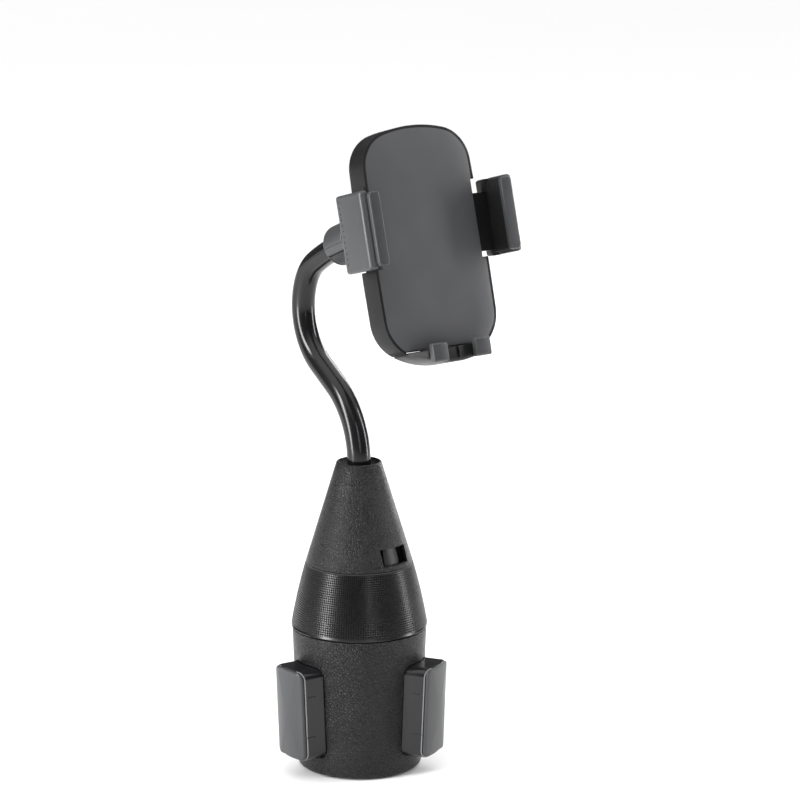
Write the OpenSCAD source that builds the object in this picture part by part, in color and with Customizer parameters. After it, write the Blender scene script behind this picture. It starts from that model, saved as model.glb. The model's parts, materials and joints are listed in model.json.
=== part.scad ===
// Cup-holder phone mount: expanding base, gooseneck, ball joint and clamping cradle.
// Origin: middle of the underside of the base. +Z is up and the cradle faces -Y.

/* [Base] */
// Radius of the barrel at its lower end
barrel_r_low = 29.4; // [27:0.1:31]
// Radius of the barrel under the grip ring
barrel_r_high = 31.85; // [31:0.05:33]
// Height of the barrel's upper rim
barrel_top = 68; // [66:0.5:70]
// Height of the seam between grip ring and cone
seam_z = 100; // [98:0.5:102]
// Radius of the cone at the seam
cone_r_low = 25.35; // [25:0.05:26]
// Radius of the cone at its top
cone_r_high = 10.6; // [10:0.1:12]
// Height of the cone's top
cone_top = 148.3; // [146:0.1:150]
// Wall thickness of the moulded shells
wall = 2.2; // [1.6:0.1:2.6]

/* [Feet] */
// Width of a foot
foot_w = 23.3; // [20:0.1:24]
// Lower edge of a foot
foot_z0 = 9.7; // [9:0.1:14]
// Upper edge of a foot
foot_z1 = 53.7; // [50:0.1:53.8]
// Distance from the axis to the middle of a foot's face, at foot_z_ref
foot_reach = 42.65; // [41:0.05:44]
// Travel of a foot inwards from this position
foot_in = 11; // [9:0.5:11]
// Travel of a foot outwards from this position
foot_out = 4; // [2:0.5:4]

/* [Neck] */
// Outer radius of the gooseneck's sheath
sheath_r = 5.6; // [5:0.1:5.8]
// Radius of the lower bend
bend_low_r = 40; // [38:1:44]
// Lean of the straight stretch from the vertical
lean = 58; // [50:1:60]
// Length of the straight stretch between the bends
straight_l = 15; // [13:1:20]
// Radius of the upper bend
bend_high_r = 31; // [29:1:34]
// Radius of the tight bend after it
bend_tight_r = 23; // [21:1:26]
// Radius of the long bend that ends in the collar
bend_end_r = 125; // [110:5:140]

/* [Cradle] */
// Backward tilt of the cradle
tilt = 15.5; // [10:0.5:20]
// Distance from the middle of the cradle to an arm's outer face
arm_out = 42.2; // [41.5:0.1:43]

/* [Hidden] */
$fn = 64;
eps = 0.01;
gap = 0.3;
fit = 0.05;

// base
barrel_z0 = 3.2;
ring_z0 = barrel_top + gap;
ridge_z = 69.5;
ridge_r = 32.3;
deck_z = 55;
deck_t = 3;
barrel_slope = (barrel_r_high - barrel_r_low) / (barrel_top - barrel_z0);
cone_slope = (cone_r_low - cone_r_high) / (cone_top - seam_z);
foot_angles = [180, 300, 60];
boss_r = 3;
boss_at = 25;
pilot_r = 1.0;
screw_r = 0.95;
cover_lift = 0.5;
pad_r = 21;
spindle_r = 6;
spindle_bore = 3.2;
flange_r = 7.9;
washer_t = 3.2;
column_r = 9;
column_z0 = 65.6;
column_top = 139.5;
socket_z0 = 118;
cam_z0 = 61.3;
cam_t = 4;
cam_r = 28.9;
cam_deg_per_mm = 7;
pin_r = 1.8;
pin_at = 21.2;
slot_hw = 2.05;
drum_r = [19, 26];
web_t = 2.5;
knob_screw_at = 23;
ledge_r = 20.5;
ledge_z = [92.5, 95];
window_z = [102, 110];
window_mid = -77.5;
window_w = 16.4;

// feet
foot_z_ref = 50;
foot_slope = 0.041;
foot_face_r = 32;
foot_axis = foot_reach - foot_face_r;
foot_pad_t = 1.6;
foot_back = 19.5;
carrier_x = [19, 24];
foot_corner = 4;
foot_wall = 2;

// neck route: the neck bends in the plane x = 0, headings are angles from +Z towards +Y
core_r = 2.25;
core_bore = 2.3;
neck_base = [0, 147.5];
function heading(a) = [sin(a), cos(a)];
function left_of(a) = [-cos(a), sin(a)];
bend_low_c = neck_base - bend_low_r * left_of(0);
bend_low_end = bend_low_c + bend_low_r * left_of(lean);
bend_high_start = bend_low_end + straight_l * heading(lean);
bend_high_c = bend_high_start + bend_high_r * left_of(lean);
tight_a = -25;
bend_tight_c = bend_high_c - (bend_high_r - bend_tight_r) * left_of(tight_a);
turn_a = -57;
bend_end_c = bend_tight_c + (bend_end_r - bend_tight_r) * left_of(turn_a);
end_a = -67;
neck_end = bend_end_c - bend_end_r * left_of(end_a);
knuckle_r = 5.5;
cup_r = 5.9;
// neighbouring lengths of one tube reach into each other by lap, the second one slimmer by slim
lap = 0.4;
slim = 0.04;
knuckle_low_a = 26;
knuckle_low = bend_low_c + bend_low_r * left_of(knuckle_low_a);
knuckle_mid = bend_low_end + straight_l / 2 * heading(lean);
knuckle_high = bend_high_c - bend_high_r * left_of(0);

// collar and ball, measured along the neck's end
collar_r = 9.7;
collar_l = 17;
clamp_z0 = 17.3;
clamp_t = 5.7;
clamp_r = 8.8;
ball_r = 8;
ball_dist = 41.9;
stem_r = 3.5;
ball_c = neck_end + ball_dist * heading(end_a);

// cradle: local x is to the right, local y up the plate and local z out of its face
ball_y = -12.9;
ball_z = -32;
cradle_o = [
    ball_c[0] - ball_y * sin(tilt) + ball_z * cos(tilt),
    ball_c[1] - ball_y * cos(tilt) - ball_z * sin(tilt)
];
seat_r = ball_r + fit;
seat_out = 9.3;
socket_in = seat_out + fit;
socket_out = 12;
nut_in = socket_out + fit;
nut_out = 14.4;
plate_t = 1.8;
shell_z0 = -14;
shell_floor = 1.8;
shell_wall = 1.8;
notch_x = 27.9;
notch_y = [-35.2, 0.8];
rack_y = -19.2;
rack_z = [-5.0, -2.2];
rack_t = 3;
rack_x0 = -18;
bar_x = [15, 40.6];
spring_y = -7.4;
spring_z = -7.2;
spring_hl = 10;
lug_t = 2;
pinion_pitch_r = 5;
pinion_teeth = 12;
tooth_pitch = 2 * PI * pinion_pitch_r / pinion_teeth;
addendum = 0.7;
dedendum = 0.95;
tooth_play = 0.3;
axle_r = 1.5;
arm_y = [-35.2, 0.2];
bar_y = [-32.6, -5.8];
lip_x = [33.6, 39.4];
lip_z = [12.4, 14.9];
arm_back_z = -9.75;
arm_inner = 36.4;
lining_x = [35.9, 38.2];
arm_screw_x = 39;
tongue_x = [4.6, 9];
tray_y = [-79.9, -73.9];
tray_hw = 21.6;
prong_x = [7.8, 15.9];
prong_z = [8.6, 11.9];
prong_top = -71.3;
button_y = -52;
button_t = 1.2;
pawl_y = [-50.5, -25.5];
pawl_z = [-9.6, -8.0];
pawl_hw = 3;
pivot_y = -40;
pivot_r = 1;
boss_x = 18;
boss_y = [15, -62];
socket_screw_r = 15.2;

// ---------- helpers ----------

// points of an arc about c, from angle a0 to a1
function arc_points(c, r, a0, a1, n) = [
    for (i = [0:n]) let (a = a0 + (a1 - a0) * i / n) [c[0] + r * cos(a), c[1] + r * sin(a)]
];

function mirrored(points) = [for (i = [len(points) - 1:-1:0]) [-points[i][0], points[i][1]]];

// radius of the barrel and of the cone's outside at height z
function barrel_r(z) = barrel_r_low + (z - barrel_z0) * barrel_slope;
function cone_r(z) = cone_r_low - (z - seam_z) * cone_slope;

module ring(r_out, r_in, h) {
    difference() {
        cylinder(r = r_out, h = h);
        translate([0, 0, -1]) cylinder(r = r_in, h = h + 2);
    }
}

// disc with a hole and square ribs round its edge
module ribbed_disc(r_out, r_in, count, rib_h, rib_w) {
    difference() {
        union() {
            circle(r = r_out);
            for (i = [0:count - 1]) rotate([0, 0, i * 360 / count]) {
                translate([r_out - 1, -rib_w / 2]) square([1 + rib_h, rib_w]);
            }
        }
        circle(r = r_in);
    }
}

// rounded rectangle, centred, with true round corners
module round_rect(w, h, r) {
    square([w - 2 * r, h], center = true);
    square([w, h - 2 * r], center = true);
    for (x = [-1, 1], y = [-1, 1]) {
        translate([x * (w / 2 - r), y * (h / 2 - r)]) circle(r = r);
    }
}

// cross-head screw: head on z = 0, shank below
module screw(head_r, head_t, shank_r, shank_l) {
    difference() {
        union() {
            cylinder(r = head_r, h = head_t);
            translate([0, 0, -shank_l]) cylinder(r = shank_r, h = shank_l + eps);
        }
        for (a = [0, 90]) {
            rotate([0, 0, a]) translate([-head_r * 0.65, -0.25, head_t * 0.5]) {
                cube([head_r * 1.3, 0.5, head_t]);
            }
        }
    }
}

module at_neck(p) {
    translate([0, p[0], p[1]]) children();
}

// frame of the neck's end: local z runs along the neck
module at_collar() {
    at_neck(neck_end) rotate([-end_a, 0, 0]) children();
}

module at_cradle() {
    translate([0, cradle_o[0], cradle_o[1]]) rotate([90 - tilt, 0, 0]) children();
}

module at_ball() {
    at_cradle() translate([0, ball_y, ball_z]) children();
}

// ---------- base ----------

module base_barrel() {
    color([0.11, 0.11, 0.12]) difference() {
        union() {
            rotate_extrude($fn = 128) polygon([
                [barrel_r_low, barrel_z0], [barrel_r_high, barrel_top],
                [barrel_r_high - wall, barrel_top], [barrel_r_low - wall, barrel_z0]
            ]);
            intersection() {
                for (a = foot_angles) rotate([0, 0, a + 60]) translate([boss_at, 0, barrel_z0]) {
                    cylinder(r = boss_r, h = deck_z - barrel_z0);
                    translate([0, -1.2, 0]) cube([8, 2.4, deck_z - barrel_z0]);
                }
                translate([0, 0, barrel_z0]) cylinder(
                    r1 = barrel_r_low - 1, r2 = barrel_r_high - 1, h = barrel_top - barrel_z0, $fn = 128
                );
            }
        }
        for (a = foot_angles) {
            rotate([0, 0, a]) translate([15, 0, (foot_z0 + foot_z1) / 2]) rotate([90, 0, 90]) {
                linear_extrude(25) round_rect(foot_w + 0.8, foot_z1 - foot_z0 + 0.8, foot_corner + 0.4);
            }
            rotate([0, 0, a + 60]) translate([boss_at, 0, barrel_z0 - 1]) cylinder(r = pilot_r, h = 11);
            rotate([0, 0, a + 60]) translate([boss_at, 0, deck_z - 9]) cylinder(r = pilot_r, h = 10);
        }
    }
}

module bottom_cover() {
    edge_r = 2.4;
    color([0.1, 0.1, 0.11]) difference() {
        rotate_extrude($fn = 128) polygon(concat(
            [[0, barrel_z0], [0, cover_lift]],
            arc_points([barrel_r_low - edge_r, cover_lift + edge_r], edge_r, -90, 0, 8),
            [[barrel_r_low, barrel_z0]]
        ));
        translate([0, 0, -1]) cylinder(r = pad_r + fit, h = 2.2);
        for (a = foot_angles) rotate([0, 0, a + 60]) translate([boss_at, 0, 0]) {
            translate([0, 0, -1]) cylinder(r = 1.2, h = 6);
            translate([0, 0, -1]) cylinder(r = 2.5, h = 2.9);
        }
    }
}

module rubber_base_pad() {
    color([0.05, 0.05, 0.05]) difference() {
        cylinder(r = pad_r, h = 1.2);
        for (r = [11.5, 15.5, 19]) translate([0, 0, -0.2]) ring(r + 0.4, r - 0.4, 0.5);
    }
}

module base_screws() {
    color("silver") for (a = foot_angles) rotate([0, 0, a + 60]) {
        translate([boss_at, 0, 1.9]) rotate([180, 0, 0]) screw(2.2, 1.1, screw_r, 8);
    }
}

module guide_plate() {
    color([0.15, 0.15, 0.16]) difference() {
        translate([0, 0, deck_z]) cylinder(r = 29, h = deck_t);
        for (a = foot_angles) {
            rotate([0, 0, a]) translate([carrier_x[0] - foot_in - gap, -3.2, deck_z - 1]) {
                cube([30, 6.4, deck_t + 2]);
            }
            rotate([0, 0, a + 60]) translate([boss_at, 0, deck_z - 1]) cylinder(r = 1.2, h = deck_t + 2);
        }
        translate([0, 0, deck_z - 1]) cylinder(r = spindle_r, h = deck_t + 2);
    }
}

module guide_screws() {
    color("silver") for (a = foot_angles) rotate([0, 0, a + 60]) {
        translate([boss_at, 0, deck_z + deck_t]) screw(2.2, 1.4, screw_r, 10);
    }
}

module spindle() {
    color("lightgray") difference() {
        union() {
            translate([0, 0, deck_z - 2.5]) cylinder(r = flange_r, h = 2.5);
            translate([0, 0, deck_z - 1]) cylinder(r = spindle_r, h = 36);
        }
        translate([0, 0, deck_z - 4]) cylinder(r = spindle_bore, h = 42);
    }
}

module thrust_washer() {
    color("silver") translate([0, 0, deck_z + deck_t]) ring(spindle_r + 1.4, spindle_r, washer_t);
}

// long bolt that draws the neck column down onto the spindle
module stem_bolt() {
    head_t = 4;
    color("silver") translate([0, 0, deck_z - 2.5 - head_t]) difference() {
        union() {
            cylinder(r = 5.2, h = head_t);
            translate([0, 0, head_t - eps]) cylinder(r = spindle_bore - fit, h = 58);
        }
        translate([0, 0, -1]) cylinder(r = 2.9, h = 3.4, $fn = 6);
    }
}

module neck_column() {
    color([0.15, 0.15, 0.16]) difference() {
        translate([0, 0, column_z0]) cylinder(r = column_r, h = column_top - column_z0);
        translate([0, 0, column_z0 - 1]) cylinder(r = spindle_r, h = 90 - column_z0 + 1);
        translate([0, 0, 89]) cylinder(r = spindle_bore, h = socket_z0 - 88);
        translate([0, 0, socket_z0]) cylinder(r = sheath_r, h = 30);
    }
}

module cone_shell() {
    plug_z = column_top;
    mouth_r = 9.7;
    color([0.12, 0.12, 0.13]) difference() {
        rotate_extrude($fn = 128) polygon([
            [cone_r_low, seam_z], [cone_r_high, cone_top], [mouth_r, cone_top],
            [sheath_r + 0.4, cone_top - 3], [sheath_r + 0.4, plug_z], [cone_r(plug_z) - wall, plug_z],
            [cone_r_low - wall, seam_z]
        ]);
        rotate([0, 0, window_mid]) translate([0, -window_w / 2, window_z[0]]) {
            cube([40, window_w, window_z[1] - window_z[0]]);
        }
    }
}

// ---------- turning knob ----------

module grip_ring() {
    top_z = seam_z - gap;
    top_r = cone_r(seam_z) + 0.1;
    bow_r = 260;
    // centre of the bowed side, which passes through the ridge and the top edge
    half = norm([ridge_r - top_r, top_z - ridge_z]) / 2;
    mid = [(ridge_r + top_r) / 2, (ridge_z + top_z) / 2];
    lay = atan2(top_z - ridge_z, top_r - ridge_r);
    back = sqrt(bow_r * bow_r - half * half);
    centre = [mid[0] - back * sin(lay), mid[1] + back * cos(lay)];
    a0 = atan2(ridge_z - centre[1], ridge_r - centre[0]);
    a1 = atan2(top_z - centre[1], top_r - centre[0]);
    side = arc_points(centre, bow_r, a0, a1, 12);
    color([0.13, 0.13, 0.14]) difference() {
        rotate_extrude($fn = 128) polygon(concat(
            [[drum_r[0], ring_z0], [barrel_r_high, ring_z0]],
            side,
            [[top_r - wall, top_z], [top_r - wall + 1, ledge_z[1]]],
            [[ledge_r, ledge_z[1]], [ledge_r, ledge_z[0]], [top_r - 0.4, ledge_z[0]]],
            [[ridge_r - 3.6, 74], [ridge_r - 3.6, ring_z0 + web_t], [drum_r[0], ring_z0 + web_t]]
        ));
        for (a = foot_angles) rotate([0, 0, a + 60]) translate([knob_screw_at, 0, ring_z0 - 1]) {
            cylinder(r = 1.2, h = 6);
        }
    }
}

// one spiral slot: as the plate turns, its pin's radius changes by 1 mm for each cam_deg_per_mm
module spiral_slot(a_from, a_to) {
    function spiral(t) = (pin_at + t / cam_deg_per_mm) * [cos(-t), sin(-t)];
    function across(t) = let (d = spiral(t + 1) - spiral(t - 1)) [-d[1], d[0]] / norm(d);
    steps = 36;
    ts = [for (i = [0:steps]) a_from + (a_to - a_from) * i / steps];
    polygon(concat(
        [for (t = ts) spiral(t) + slot_hw * across(t)],
        [for (i = [steps:-1:0]) spiral(ts[i]) - slot_hw * across(ts[i])]
    ));
    for (t = [a_from, a_to]) translate(spiral(t)) circle(r = slot_hw);
}

module cam_plate() {
    color([0.85, 0.85, 0.82]) difference() {
        union() {
            translate([0, 0, cam_z0]) cylinder(r = cam_r, h = cam_t);
            translate([0, 0, cam_z0 + cam_t - eps]) {
                ring(drum_r[1], drum_r[0], ring_z0 - cam_z0 - cam_t + eps);
            }
        }
        translate([0, 0, cam_z0 - 1]) linear_extrude(cam_t + 1) for (a = foot_angles) {
            rotate([0, 0, a]) spiral_slot(-foot_in * cam_deg_per_mm - 2, foot_out * cam_deg_per_mm + 2);
        }
        translate([0, 0, cam_z0 - 1]) cylinder(r = spindle_r + fit, h = cam_t + 8);
        for (a = foot_angles) rotate([0, 0, a + 60]) translate([knob_screw_at, 0, cam_z0 + cam_t + 0.4]) {
            cylinder(r = pilot_r, h = 6);
        }
    }
}

module knob_screws() {
    color("silver") for (a = foot_angles) rotate([0, 0, a + 60]) {
        translate([knob_screw_at, 0, ring_z0 + web_t]) screw(2.2, 1.4, screw_r, 4.8);
    }
}

module indicator_sleeve() {
    top_z = 112;
    clear = wall + 0.9;
    skin = 1.5;
    foot_r = cone_r(seam_z) - wall - 1.1;
    color([0.32, 0.32, 0.33]) difference() {
        rotate_extrude($fn = 128) polygon([
            [foot_r, ledge_z[1]], [foot_r, seam_z], [cone_r(seam_z + 1) - clear, seam_z + 1],
            [cone_r(top_z) - clear, top_z], [cone_r(top_z) - clear - skin, top_z],
            [cone_r(seam_z) - clear - skin, seam_z], [foot_r - skin, ledge_z[1]]
        ]);
        for (a = [-18, 17]) rotate([0, 0, window_mid + a]) {
            translate([0, -1.6, window_z[0] - 1]) cube([40, 3.2, window_z[1] - window_z[0] + 2]);
        }
    }
}

// ---------- feet ----------

// slab of a foot between two depths behind its bowed face, its outline drawn in by inset
module foot_slab(depth_out, depth_in, inset = 0) {
    r_at = function (z) foot_face_r + (z - foot_z_ref) * foot_slope;
    intersection() {
        translate([0, 0, (foot_z0 + foot_z1) / 2]) rotate([90, 0, 90]) linear_extrude(60) {
            round_rect(foot_w - 2 * inset, foot_z1 - foot_z0 - inset, foot_corner - inset);
        }
        difference() {
            translate([foot_axis, 0, 0]) {
                cylinder(r1 = r_at(0) - depth_out, r2 = r_at(60) - depth_out, h = 60, $fn = 96);
            }
            if (depth_in > 0) translate([foot_axis, 0, -1]) {
                cylinder(r1 = r_at(-1) - depth_in, r2 = r_at(61) - depth_in, h = 62, $fn = 96);
            }
        }
        translate([foot_back, -foot_w, 0]) cube([40, foot_w * 2, 60]);
    }
}

module foot_housing(i) {
    carrier_l = carrier_x[1] - carrier_x[0];
    rotate([0, 0, foot_angles[i]]) color([0.1, 0.1, 0.11]) union() {
        difference() {
            foot_slab(foot_pad_t, 0);
            translate([foot_back - 1, 0, (foot_z0 + foot_z1) / 2]) rotate([90, 0, 90]) {
                linear_extrude(19.5) {
                    round_rect(foot_w - 2 * foot_wall, foot_z1 - foot_z0 - 2 * foot_wall, foot_corner - 2);
                }
            }
            for (z = [21.8, 41.6], y = [-1, 1]) {
                translate([foot_back - 1, y * foot_w / 2 - 0.4, z - 0.35]) cube([40, 0.8, 0.7]);
            }
        }
        translate([carrier_x[0], -3, foot_z1 - 1]) cube([carrier_l, 6, 6]);
        translate([carrier_x[0], -5, deck_z + deck_t + gap]) cube([carrier_l, 10, 1.7]);
        translate([pin_at, 0, deck_z + deck_t + 1]) cylinder(r = pin_r, h = 6);
    }
}

module foot_pad(i) {
    rotate([0, 0, foot_angles[i]]) color([0.35, 0.35, 0.36]) foot_slab(0, foot_pad_t, 0.9);
}

// ---------- gooseneck ----------

// length of tube that curves away from the start, about a centre behind (low) or ahead (high)
module bend_low(r, a0, a1) {
    at_neck(bend_low_c) rotate([90, 0, -90]) rotate([0, 0, a0]) {
        rotate_extrude(angle = a1 - a0, $fn = 96) translate([bend_low_r, 0]) circle(r = r, $fn = 48);
    }
}

module bend_back(centre, radius, r, a0, a1) {
    at_neck(centre) rotate([90, 0, 90]) rotate([0, 0, -a0]) {
        rotate_extrude(angle = a0 - a1, $fn = 96) translate([radius, 0]) circle(r = r, $fn = 48);
    }
}

// straight length from p, let into the bends at its ends by in0 and in1
module straight(p, a, r, l, in0 = 0, in1 = 0) {
    at_neck(p) rotate([-a, 0, 0]) translate([0, 0, -in0]) cylinder(r = r, h = in0 + l + in1, $fn = 48);
}

module knuckle(p, r) {
    at_neck(p) sphere(r = r, $fn = 64);
}

module neck_tube_1(r) {
    translate([0, 0, column_top]) cylinder(r = r, h = neck_base[1] - column_top, $fn = 48);
    bend_low(r, 0, knuckle_low_a);
}

module neck_tube_2(r) {
    bend_low(r, knuckle_low_a, lean);
    straight(bend_low_end, lean, r - slim, straight_l / 2, lap, 0);
}

module neck_tube_3(r) {
    straight(knuckle_mid, lean, r - slim, straight_l / 2, 0, lap);
    bend_back(bend_high_c, bend_high_r, r, lean, 0);
}

module neck_tube_4(r) {
    bend_back(bend_high_c, bend_high_r, r, 0, tight_a);
    bend_back(bend_tight_c, bend_tight_r, r - slim, tight_a + lap, turn_a);
    bend_back(bend_end_c, bend_end_r, r, turn_a + lap, end_a);
}

module neck_ferrule() {
    color("dimgray") difference() {
        translate([0, 0, socket_z0]) cylinder(r = sheath_r, h = column_top - socket_z0);
        translate([0, 0, socket_z0 - 1]) cylinder(r = core_bore, h = column_top - socket_z0 + 2);
    }
}

module neck_sheath_1() {
    color([0.07, 0.07, 0.08]) difference() {
        union() {
            neck_tube_1(sheath_r);
            knuckle(knuckle_low, knuckle_r);
        }
        translate([0, 0, column_top - 1]) cylinder(r = core_bore, h = 2, $fn = 48);
        neck_tube_1(core_bore);
    }
}

module neck_sheath_2() {
    color([0.07, 0.07, 0.08]) difference() {
        union() {
            neck_tube_2(sheath_r);
            knuckle(knuckle_mid, knuckle_r);
        }
        knuckle(knuckle_low, cup_r);
        neck_tube_2(core_bore);
    }
}

module neck_sheath_3() {
    color([0.07, 0.07, 0.08]) difference() {
        union() {
            neck_tube_3(sheath_r);
            knuckle(knuckle_high, knuckle_r);
        }
        knuckle(knuckle_mid, cup_r);
        neck_tube_3(core_bore);
    }
}

module neck_sheath_4() {
    color([0.07, 0.07, 0.08]) difference() {
        union() {
            neck_tube_4(sheath_r);
            straight(neck_end, end_a, sheath_r - slim, 6, lap, 0);
        }
        knuckle(knuckle_high, cup_r);
        neck_tube_4(core_bore);
    }
}

module neck_core_1() {
    color("silver") {
        translate([0, 0, socket_z0]) cylinder(r = core_r, h = neck_base[1] - socket_z0, $fn = 48);
        bend_low(core_r, 0, knuckle_low_a - 1);
    }
}

module neck_core_2() {
    color("silver") difference() {
        neck_tube_2(core_r);
        knuckle(knuckle_low, cup_r + 0.5);
    }
}

module neck_core_3() {
    color("silver") difference() {
        neck_tube_3(core_r);
        knuckle(knuckle_mid, cup_r + 0.5);
    }
}

module neck_core_4() {
    color("silver") difference() {
        neck_tube_4(core_r);
        knuckle(knuckle_high, cup_r + 0.5);
        at_collar() translate([0, 0, -1]) cylinder(r = 6, h = 4);
    }
}

// ---------- collar and ball joint ----------

module neck_end_collar() {
    edge = 1.6;
    color([0.35, 0.35, 0.36]) at_collar() difference() {
        rotate_extrude($fn = 96) polygon(concat(
            [[sheath_r, 0]],
            arc_points([collar_r - edge, edge], edge, -90, 0, 6),
            [[collar_r, collar_l], [4, collar_l], [4, 7], [sheath_r, 7]]
        ));
        for (s = [-1, 1]) translate([s * (collar_r - 0.9), -5.5, 2.4]) {
            translate([s > 0 ? 0 : -3, 0, 0]) cube([3, 6.6, collar_l - 4.4]);
        }
    }
}

module collar_grips() {
    color([0.28, 0.28, 0.29]) at_collar() for (s = [-1, 1]) intersection() {
        translate([s * (collar_r - 0.9), -5.5, 2.4]) translate([s > 0 ? 0 : -3, 0, 0]) {
            cube([3, 6.6, collar_l - 4.4]);
        }
        cylinder(r = collar_r, h = collar_l, $fn = 96);
    }
}

module neck_clamp_nut() {
    color([0.05, 0.05, 0.05]) at_collar() translate([0, 0, clamp_z0]) linear_extrude(clamp_t) {
        ribbed_disc(clamp_r, 4, 24, 0.5, 1.2);
    }
}

module ball_stud() {
    color("silver") at_collar() union() {
        translate([0, 0, 7.5]) cylinder(r = 4, h = clamp_z0 + clamp_t - 7.5);
        translate([0, 0, 20]) cylinder(r = stem_r, h = ball_dist - 20);
        translate([0, 0, ball_dist]) sphere(r = ball_r, $fn = 96);
    }
}

// spherical shell about the ball, between two angles from the cradle's normal
module ball_seat(a0, a1) {
    rotate_extrude($fn = 96) polygon(concat(
        arc_points([0, 0], seat_out, 90 - a1, 90 - a0, 12),
        arc_points([0, 0], seat_r, 90 - a0, 90 - a1, 12)
    ));
}

module ball_seat_front() {
    color([0.8, 0.78, 0.7]) at_ball() ball_seat(8, 62);
}

module ball_seat_rear() {
    color([0.8, 0.78, 0.7]) at_ball() ball_seat(98, 126);
}

module ball_socket() {
    rim_a = 130;
    flange_z = shell_z0 - ball_z;
    color([0.09, 0.09, 0.1]) at_ball() difference() {
        union() {
            translate([0, 0, socket_in * cos(rim_a)]) {
                cylinder(r = socket_out, h = flange_z - socket_in * cos(rim_a));
            }
            translate([0, 0, flange_z - 2.4]) cylinder(r = 18, h = 2.4);
        }
        sphere(r = socket_in, $fn = 96);
        cylinder(r = socket_in, h = 20);
        translate([0, 0, -20]) cylinder(r = socket_in * sin(rim_a), h = 20);
        for (a = [45:90:315]) rotate([0, 0, a]) translate([socket_screw_r, 0, flange_z - 4]) {
            cylinder(r = 1.2, h = 6);
        }
        for (a = [0:60:120]) rotate([0, 0, a]) translate([-20, -0.5, -8]) cube([40, 1, 10]);
    }
}

// plug that closes the socket behind the front seat
module ball_retainer() {
    color([0.15, 0.15, 0.16]) at_ball() difference() {
        translate([0, 0, 5]) cylinder(r = seat_out, h = shell_z0 - ball_z - 5);
        sphere(r = socket_in, $fn = 96);
    }
}

module ball_lock_nut() {
    color([0.06, 0.06, 0.06]) at_ball() translate([0, 0, -8.2]) difference() {
        union() {
            cylinder(r = nut_out, h = 13);
            for (i = [0:17]) rotate([0, 0, i * 20]) {
                translate([nut_out - 0.4, -1.1, 1.2]) cube([1.2, 2.2, 10.6]);
            }
        }
        translate([0, 0, 1.9]) cylinder(r = nut_in, h = 20);
        translate([0, 0, -1]) cylinder(r = 8.4, h = 10);
    }
}

module socket_screws() {
    color("silver") at_ball() for (a = [45:90:315]) rotate([0, 0, a]) {
        translate([socket_screw_r, 0, shell_z0 - ball_z - 2.4]) rotate([180, 0, 0]) {
            screw(2.0, 1.2, screw_r, 3.6);
        }
    }
}

// ---------- cradle ----------

// right half of the cradle's outline, from the bottom to the top
function half_outline(inset) = concat(
    arc_points([12.6, -58.5], 18.6 - inset, -78, -8, 8),
    arc_points([-68.6, -40], 100 - inset, -7, 6, 4),
    arc_points([12.6, 9.5], 17.2 - inset, 14, 66, 6),
    arc_points([0, -39.5], 68.3 - inset, 74, 82, 3)
);

module cradle_outline(inset) {
    half = half_outline(inset);
    polygon(concat(half, mirrored(half)));
}

module arm_notches(grow) {
    for (s = [-1, 1]) translate([s > 0 ? notch_x - grow : -40, notch_y[0] - grow]) {
        square([40 - notch_x + grow, notch_y[1] - notch_y[0] + 2 * grow]);
    }
}

// the cradle's body ends above the tray
module tray_cutout(grow) {
    translate([-22 - grow, -90]) square([44 + 2 * grow, 90 - 72.6 + grow]);
}

module cradle_sheet(inset) {
    difference() {
        cradle_outline(inset);
        arm_notches(inset);
        tray_cutout(inset);
    }
}

module face_plate() {
    color([0.32, 0.32, 0.33]) at_cradle() translate([0, 0, -plate_t]) {
        linear_extrude(plate_t) difference() {
            cradle_outline(0.2);
            arm_notches(0);
            translate([-40, -90]) square([80, 90 - 71.2]);
        }
    }
}

module at_cradle_bosses() {
    for (x = [-boss_x, boss_x], y = boss_y) translate([x, y, 0]) children();
}

module back_shell() {
    inner_z = shell_z0 + shell_floor;
    sheet_in = shell_wall + 1;
    color([0.1, 0.1, 0.11]) at_cradle() difference() {
        union() {
            difference() {
                union() {
                    translate([0, 0, shell_z0]) linear_extrude(2) cradle_sheet(1.2);
                    translate([0, 0, shell_z0 + 1]) linear_extrude(-plate_t - shell_z0 - 1) cradle_sheet(0);
                }
                translate([0, 0, inner_z]) linear_extrude(20) cradle_sheet(sheet_in);
                translate([-40, bar_y[0] - gap, rack_z[0] - gap]) {
                    cube([80, bar_y[1] - bar_y[0] + 2 * gap, 20]);
                }
            }
            translate([0, rack_y, inner_z - eps]) cylinder(r = 3.2, h = rack_z[0] - 0.4 - inner_z);
            translate([0, rack_y, inner_z - eps]) cylinder(r = axle_r, h = rack_z[1] - inner_z);
            at_cradle_bosses() translate([0, 0, inner_z - eps]) cylinder(r = 2.6, h = -plate_t - inner_z);
            for (s = [-1, 1]) translate([s > 0 ? pawl_hw + gap : -6.5, pivot_y - 2, inner_z - eps]) {
                cube([6.5 - pawl_hw - gap, 4, 5]);
            }
        }
        for (x = [tongue_x[0], -tongue_x[1]]) translate([x - gap, -80, rack_z[0] - gap]) {
            cube([tongue_x[1] - tongue_x[0] + 2 * gap, 14, 10]);
        }
        translate([0, button_y, shell_z0 - 1]) linear_extrude(5) round_rect(18.6, 9.6, 2.8);
        translate([-10, pivot_y, (pawl_z[0] + pawl_z[1]) / 2]) rotate([0, 90, 0]) {
            cylinder(r = pivot_r, h = 20);
        }
        at_cradle_bosses() translate([0, 0, shell_z0 - 1]) {
            cylinder(r = pilot_r, h = 11.5);
            cylinder(r = 2.4, h = 2);
        }
        translate([0, ball_y, 0]) for (a = [45:90:315]) rotate([0, 0, a]) {
            translate([socket_screw_r, 0, shell_z0 - 1]) cylinder(r = pilot_r, h = 5);
        }
    }
}

module cradle_screws() {
    color("silver") at_cradle() at_cradle_bosses() {
        translate([0, 0, shell_z0 + 1]) rotate([180, 0, 0]) screw(2.2, 0.9, screw_r, 9);
    }
}

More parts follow.
